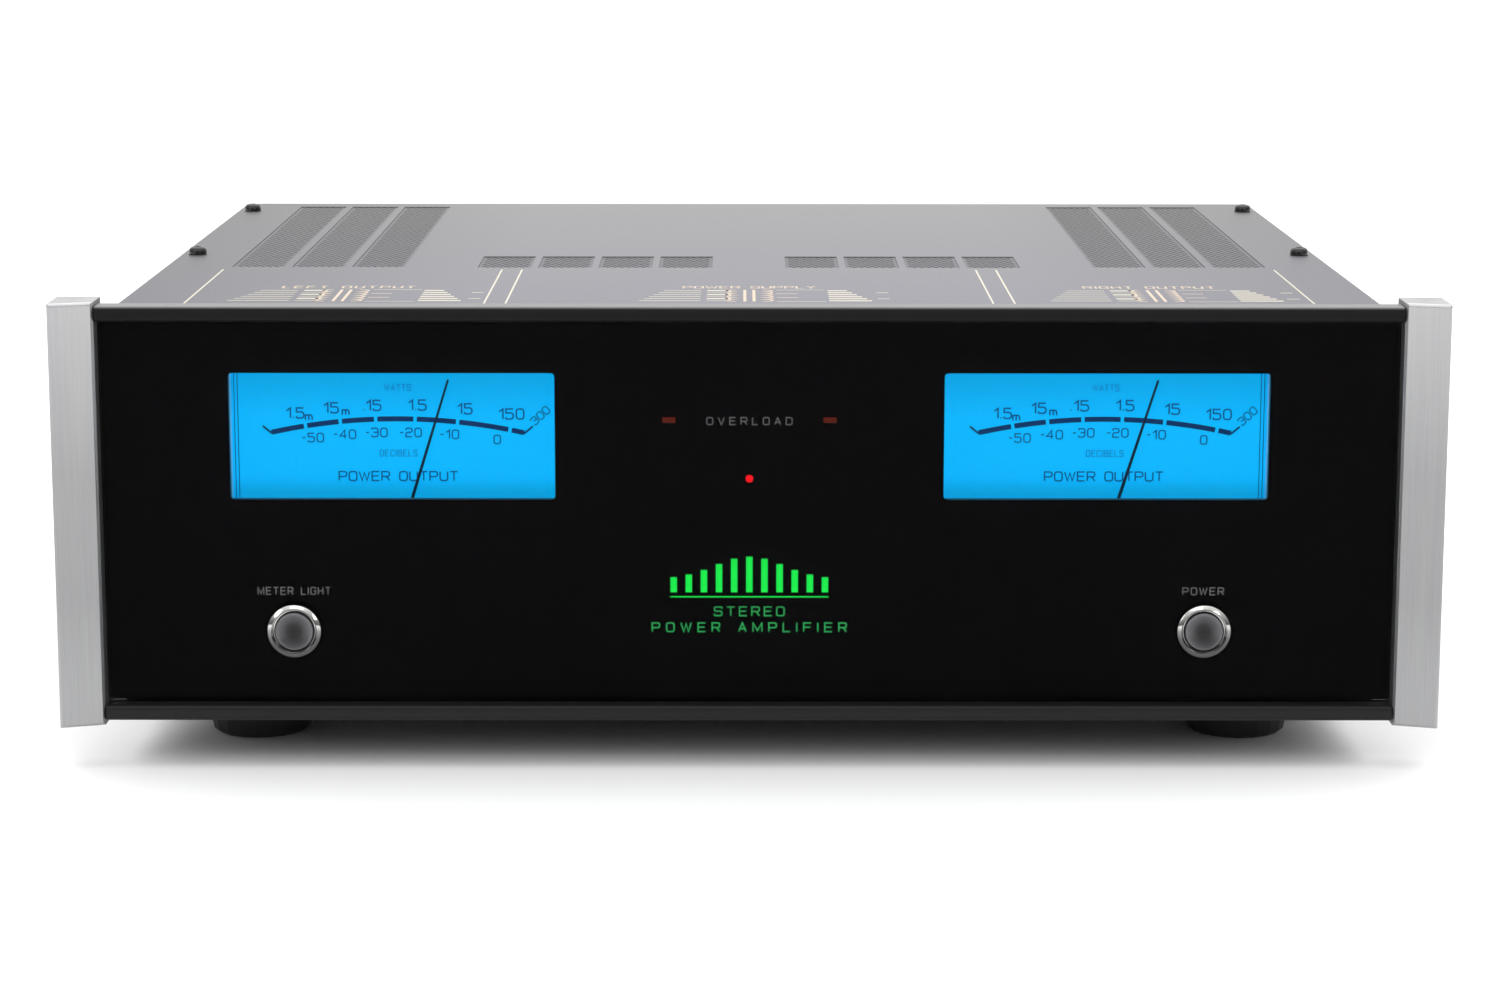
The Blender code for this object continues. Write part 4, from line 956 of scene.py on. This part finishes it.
def add_cover():
    """Folded lid: flat top with open vent fields, rounded bends and rear corners."""
    bm = bmesh.new()
    holed_plate(bm, (-COVER_HALF, COVER_HALF), (COVER_FRONT, COVER_BACK), vent_holes(),
                lambda x, y: (x, y, COVER_TOP))

    def is_rim(edge):
        middle = (edge.verts[0].co + edge.verts[1].co) / 2
        outside = abs(middle.x) > COVER_HALF - 0.01 or middle.y > COVER_BACK - 0.01
        return len(edge.link_faces) == 1 and outside

    rim = [edge for edge in bm.edges if is_rim(edge)]
    swept = bmesh.ops.extrude_edge_only(bm, edges=rim)["geom"]
    lowered = [item for item in swept if isinstance(item, bmesh.types.BMVert)]
    bmesh.ops.translate(bm, verts=lowered, vec=(0, 0, -COVER_LIP))
    bmesh.ops.recalc_face_normals(bm, faces=bm.faces)

    def upright(edge):
        way = edge.verts[0].co - edge.verts[1].co
        at_corner = all(abs(abs(v.co.x) - COVER_HALF) < 0.01 and v.co.y > COVER_BACK - 0.01
                        for v in edge.verts)
        return at_corner and abs(way.z) > 1

    corners = [edge for edge in bm.edges if upright(edge)]
    bmesh.ops.bevel(bm, geom=corners, offset=COVER_CORNER, segments=10, affect="EDGES",
                    profile=0.5)
    bends = [edge for edge in bm.edges if len(edge.link_faces) == 2
             and all(abs(v.co.z - COVER_TOP) < 0.01 for v in edge.verts)
             and min(face.normal.z for face in edge.link_faces) < 0.5]
    bmesh.ops.bevel(bm, geom=bends, offset=COVER_BEND, segments=5, affect="EDGES",
                    profile=0.5)
    bmesh.ops.recalc_face_normals(bm, faces=bm.faces)
    if sum(face.normal.z * face.calc_area() for face in bm.faces) < 0:
        bmesh.ops.reverse_faces(bm, faces=bm.faces)
    bmesh.ops.solidify(bm, geom=bm.faces, thickness=COVER_SHEET)
    cover = piece("cover_sheet", as_mesh("cover_sheet", bm), "paint",
                  stands_for=("top_cover",))
    soften(cover, 0.25, 50)


def perforated(bm, size, cells):
    """A flat sheet round the origin with staggered six-sided holes and a solid border."""
    columns, rows = cells
    width, depth = size
    border = 0.45
    pitch_x = (width - 2 * border) / columns
    pitch_y = (depth - 2 * border) / rows
    left, front = -width / 2 + border, -depth / 2 + border
    hole = 0.33 * pitch_x
    vertex = point_maker(bm, lambda x, y: (x, y, 0))

    def quad(*points):
        bm.faces.new([vertex(*point) for point in points])

    def rectangle(x0, x1, y0, y1):
        quad((x0, y0), (x1, y0), (x1, y1), (x0, y1))

    for row in range(rows):
        y0, y1 = front + row * pitch_y, front + (row + 1) * pitch_y
        middle = (y0 + y1) / 2
        shift = (row % 2) * pitch_x / 2
        count = columns - row % 2
        for column in range(count):
            x0 = left + shift + column * pitch_x
            xm, x1 = x0 + pitch_x / 2, x0 + pitch_x
            ring = [(x0, y0), (xm, y0), (x1, y0), (x1, y1), (xm, y1), (x0, y1)]
            turn = [210, 270, 330, 30, 90, 150]
            inner = [(xm + hole * math.cos(math.radians(angle)),
                      middle + hole * math.sin(math.radians(angle))) for angle in turn]
            for side in range(6):
                ahead = (side + 1) % 6
                quad(ring[side], ring[ahead], inner[ahead], inner[side])
        if row % 2:
            rectangle(left, left + shift, y0, y1)
            rectangle(-left - shift, -left, y0, y1)
        for inner_x, outer_x in ((left, -width / 2), (-left, width / 2)):
            rectangle(inner_x, outer_x, y0, y1)
    half = pitch_x / 2
    for inner_y, outer_y in ((front, -depth / 2), (-front, depth / 2)):
        for step in range(2 * columns):
            rectangle(left + step * half, left + (step + 1) * half, inner_y, outer_y)
        for inner_x, outer_x in ((left, -width / 2), (-left, width / 2)):
            rectangle(inner_x, outer_x, inner_y, outer_y)


def add_grilles():
    """Perforated sheets in the vent fields: one mesh for the long ones, one for the short."""
    for kind, vents in (("long", LONG_VENTS), ("short", SHORT_VENTS)):
        bm = bmesh.new()
        perforated(bm, vents["size"], vents["cells"])
        thicken(bm, (0, 0, -GRILLE_THICKNESS))
        bmesh.ops.translate(bm, verts=bm.verts, vec=(0, vents["y"], GRILLE_TOP))
        mesh = as_mesh(f"grille_{kind}", bm)
        for side, sign in SIDES.items():
            for index, x in enumerate(vents["x"]):
                piece(f"grille_{kind}_{side}_{index}", mesh, "grille",
                      shift=(sign * x, 0, 0))


def hexagon(ring, angle):
    """Makes the second and third ring of a screw's profile a hexagon socket."""
    if ring not in (1, 2):
        return 1.0
    return 0.94 / math.cos((angle % (math.pi / 3)) - math.pi / 6)


def add_cover_screws():
    """Black pan heads with a hexagon socket."""
    profile = [
        (0, 1.3), (1.15, 1.3), (1.25, 2.75), (1.6, 2.85), (2.2, 2.7), (2.7, 2.4), (3.0, 2.0),
        (3.15, 1.5), (3.2, 1.0), (3.2, 0.1), (3.1, 0.03), (1.6, 0.03), (1.6, -6.5), (0, -6.5),
    ]
    mesh = turned("cover_screw_head", profile, "Z", (0, 0, COVER_TOP), 48, hexagon)
    for end, y in COVER_SCREW_Y.items():
        for side, sign in SIDES.items():
            piece(f"cover_fixing_{end}_{side}", mesh, "screw",
                  stands_for=(f"cover_screw_{end}_{side}",), shift=(sign * COVER_SCREW_X, y, 0))


def winding_lines(turns, pitch, bulge):
    """One side of a winding symbol: half circles stacked along the second axis."""
    points = []
    for turn in range(turns):
        for step in range(7 if turn == turns - 1 else 6):
            angle = math.pi * step / 6
            rise = pitch / 2 * (1 - math.cos(angle))
            points.append((bulge * math.sin(angle), turn * pitch + rise))
    return points


def add_cover_diagrams():
    """Field lines, and in each field a plain title over a winding diagram."""
    lines = Print(COVER_PRINT)
    wires = Print(COVER_PRINT)
    flat = plane_at("top", 0, 0, COVER_TOP)
    for x in FIELD_LINES:
        lines.line([(x, COVER_FRONT + 3.0), (x, 120.0)], 0.6, flat)
    coil = winding_lines(6, 5.0, 3.2)
    for x, title in FIELD_TITLES:
        plane = plane_at("top", x, 34.0, COVER_TOP)
        wires.text(title, plane_at("top", x, 71.0, COVER_TOP), 5.6, 0.7, width=44.0,
                   stretch=0.58)
        rows = [2.0 + 5.2 * row for row in range(6)]
        for row, v in enumerate(rows):
            lines.line([(-36.0 + 1.5 * row, v), (-16.0, v)], 0.9, plane)
            lines.line([(-14.0, v), (-6.0, v)], 2.2 if row % 2 else 0.7, plane)
            lines.line([(26.0, v), (40.0 - 1.5 * row, v)], 2.2, plane)
        for v in (rows[1], rows[4]):
            lines.line([(42.0, v), (46.0, v)], 1.0, plane)
        for core in (-1.5, 1.5):
            wires.line([(core, 0.0), (core, 30.0)], 1.0, plane)
        wires.line([(4.4 + u, v) for u, v in coil], 0.9, plane)
        wires.line([(-4.4 - u, v) for u, v in coil], 0.9, plane)
        for v in (0.0, 30.0):
            lines.line([(9.0, v), (25.0, v)], 0.6, plane)
        for v in (10.0, 20.0):
            wires.line([(9.0, v), (16.0, v)], 0.9, plane)
    lines.finish("cover_lines", "cover_print", "top_cover")
    wires.finish("cover_windings", "cover_wire", "top_cover")


# ---- rear


def post_places(sign):
    """The X of a channel's four output posts, from its common outwards."""
    middle = (len(POST_NAMES) - 1) / 2
    return [sign * (POST_X + (row - middle) * POST_PITCH) for row in range(len(POST_NAMES))]


def add_nuts():
    """Gold thumb nuts with fine flutes between two plain collars."""
    bore = 3.4
    profile = [
        (bore, 0), (NUT_RADIUS - 1.0, 0), (NUT_RADIUS - 0.6, 0.4), (NUT_RADIUS - 0.6, 1.6),
        (NUT_RADIUS - 0.1, 2.1), (NUT_RADIUS - 0.1, 11.6), (NUT_RADIUS - 0.6, 12.1),
        (NUT_RADIUS - 0.6, 13.0), (NUT_RADIUS - 1.6, 14.6), (NUT_RADIUS - 2.4, 15.8),
        (NUT_RADIUS - 2.8, NUT_LENGTH), (bore + 0.3, NUT_LENGTH), (bore, NUT_LENGTH - 0.4),
        (bore, 0),
    ]
    fluted = (4, 5)
    flutes = 18

    def flute(ring, angle):
        return 1 - 0.035 * (1 + math.cos(flutes * angle)) if ring in fluted else 1.0

    mesh = turned("thumb_nut", profile, "Y", (0, NUT_FRONT, POST_Z), 144, flute)
    for side, sign in SIDES.items():
        for name, x in zip(POST_NAMES, post_places(sign)):
            node = f"post_nut_{side}_{name}"
            piece(f"thumb_nut_{side}_{name}", mesh, "gold", body=node,
                  stands_for=(node,), shift=(x, 0, 0))


def add_rear_labels():
    """White words and frames on the rear panel, and numbers under the posts."""
    white = Print(REAR_PRINT)

    def say(text, x, z, height=2.6, weight=0.36):
        white.text(text, plane_at("back", x, PANEL_BACK, z), height, weight,
                   stretch=0.8, gap=0.26)

    def box(x, z, half_width, half_height):
        corners = [(-half_width, -half_height), (half_width, -half_height),
                   (half_width, half_height), (-half_width, half_height)]
        white.line(corners, 0.4, plane_at("back", x, PANEL_BACK, z), closed=True)

    for side, sign in SIDES.items():
        say(f"{side.upper()} OUTPUT", sign * POST_X, 111.3, 3.4, 0.5)
        box(sign * POST_X, 90.0, 52.0, 27.0)
        for name, x in zip(POST_LABELS, post_places(sign)):
            say(name, x, 69.0, 3.2, 0.45)
        say(side.upper(), sign * XLR_X, 72.5)
        say(side.upper(), sign * RCA_X, 30.0)
    box(0.0, 67.0, 50.0, 50.0)
    words = (
        ("INPUTS", 0.0, 111.3, 3.4, 0.5), ("BALANCED", -22.0, SWITCH_Z),
        ("UNBALANCED", 24.5, SWITCH_Z), ("IN", JACK_X - 8.0, JACK_Z[1]),
        ("OUT", JACK_X - 9.0, JACK_Z[0]), ("POWER", JACK_X - 2.0, 69.0),
        ("CONTROL", JACK_X - 2.0, 30.0), ("FUSE", FUSE_X, 48.0),
        ("AC IN", INLET_X, 52.0, 3.0, 0.42),
    )
    for word in words:
        say(*word)
    white.finish("rear_labels", "rear_label", "rear_panel")


def add_panel_screws():
    """Small black screws that hold the rear panel and the terminal blocks."""
    profile = [
        (0, 0.5), (0.8, 0.5), (0.9, 1.3), (1.3, 1.3), (2.1, 1.0), (2.5, 0.5), (2.5, 0), (0, 0),
    ]
    mesh = turned("panel_screw_head", profile, "Y", (0, 0, 0), 36, hexagon)
    places = [(sign * x, PANEL_BACK, z) for sign in SIDES.values()
              for x, z in ((196.0, 12.0), (196.0, 66.0), (70.0, 9.0), (70.0, 66.0))]
    places += [(sign * POST_X + end * 44.0, BLOCK_BACK, POST_Z)
               for sign in SIDES.values() for end in (-1, 1)]
    for index, place in enumerate(places):
        piece(f"panel_screw_{index}", mesh, "screw", shift=place)


# ---- surroundings

LIGHT_TARGET = (0.0, 0.0, 0.08)
SPAN_SOCKETS = ("From Min", "From Max", "To Min", "To Max")
# How the surround's strength runs: axis of the view, its start and end, strength at each.
SPANS = (("Z", 0.0, 1.0, 0.05, 1.80), ("Y", -0.2, 0.7, 0.0, 0.62))


def add_floor():
    """A pale floor that runs on past the camera's view."""
    bm = bmesh.new()
    corners = [(-20, -12), (20, -12), (20, 40), (-20, 40)]
    bm.faces.new([bm.verts.new((x, y, 0)) for x, y in corners])
    mesh = bpy.data.meshes.new("studio_floor")
    bm.to_mesh(mesh)
    bm.free()
    mesh.materials.append(Finish("studio_paper", grey(0.98), 0.9).material)
    add_object("studio_floor", mesh)


def add_area(name, place, size, power):
    """A soft rectangular light aimed at the middle of the object."""
    lamp = bpy.data.lights.new(name, "AREA")
    lamp.shape = "RECTANGLE"
    lamp.size, lamp.size_y = size
    lamp.energy = power
    obj = add_object(name, lamp)
    obj.location = place
    way = Vector(LIGHT_TARGET) - Vector(place)
    obj.rotation_euler = way.to_track_quat("-Z", "Y").to_euler()


def add_surround():
    """A studio surround that is brightest overhead, bright behind the object, dim in front."""
    world = bpy.data.worlds.new("studio")
    bpy.context.scene.world = world
    world.use_nodes = True
    tree = world.node_tree
    coordinates = tree.nodes.new("ShaderNodeTexCoord")
    split = tree.nodes.new("ShaderNodeSeparateXYZ")
    tree.links.new(coordinates.outputs["Generated"], split.inputs["Vector"])
    total = tree.nodes.new("ShaderNodeMath")
    for index, (axis, *values) in enumerate(SPANS):
        span = tree.nodes.new("ShaderNodeMapRange")
        for socket, value in zip(SPAN_SOCKETS, values):
            span.inputs[socket].default_value = value
        tree.links.new(split.outputs[axis], span.inputs["Value"])
        tree.links.new(span.outputs["Result"], total.inputs[index])
    background = tree.nodes["Background"]
    background.inputs["Color"].default_value = (1.0, 1.0, 1.0, 1.0)
    tree.links.new(total.outputs["Value"], background.inputs["Strength"])


def add_light():
    """Even studio light: the surround, a large top light and soft boxes in front."""
    add_surround()
    add_area("top_light", (0.0, 0.25, 1.3), (1.6, 0.9), 3.0)
    add_area("left_light", (-1.15, -1.25, 0.68), (0.35, 0.5), 2.6)
    add_area("right_light", (0.95, -1.45, 0.62), (0.3, 0.4), 2.0)
    add_area("front_light", (-0.15, -1.5, 1.15), (0.8, 0.3), 2.0)


def add_camera():
    """The photograph's viewpoint: a little above the cover, straight in front."""
    data = bpy.data.cameras.new("camera")
    data.sensor_width = 36.0
    data.lens = 87.1
    data.clip_start = 0.05
    data.clip_end = 50.0
    camera = add_object("camera", data)
    camera.location = (-0.0027, -1.32205, 0.3008)
    camera.rotation_euler = [math.radians(angle) for angle in (79.485, -0.059, -0.133)]
    bpy.context.scene.camera = camera


def main():
    dress_nodes()
    add_mask()
    add_front_labels()
    add_badge()
    add_cover()
    add_grilles()
    add_cover_screws()
    add_cover_diagrams()
    add_nuts()
    add_rear_labels()
    add_panel_screws()
    for side, sign in SIDES.items():
        add_dial_print(side, sign)
    add_button("meter_light", SIDES["left"])
    add_button("power", SIDES["right"])
    add_floor()
    add_light()
    add_camera()
    bpy.context.scene.view_settings.view_transform = "Standard"


main()
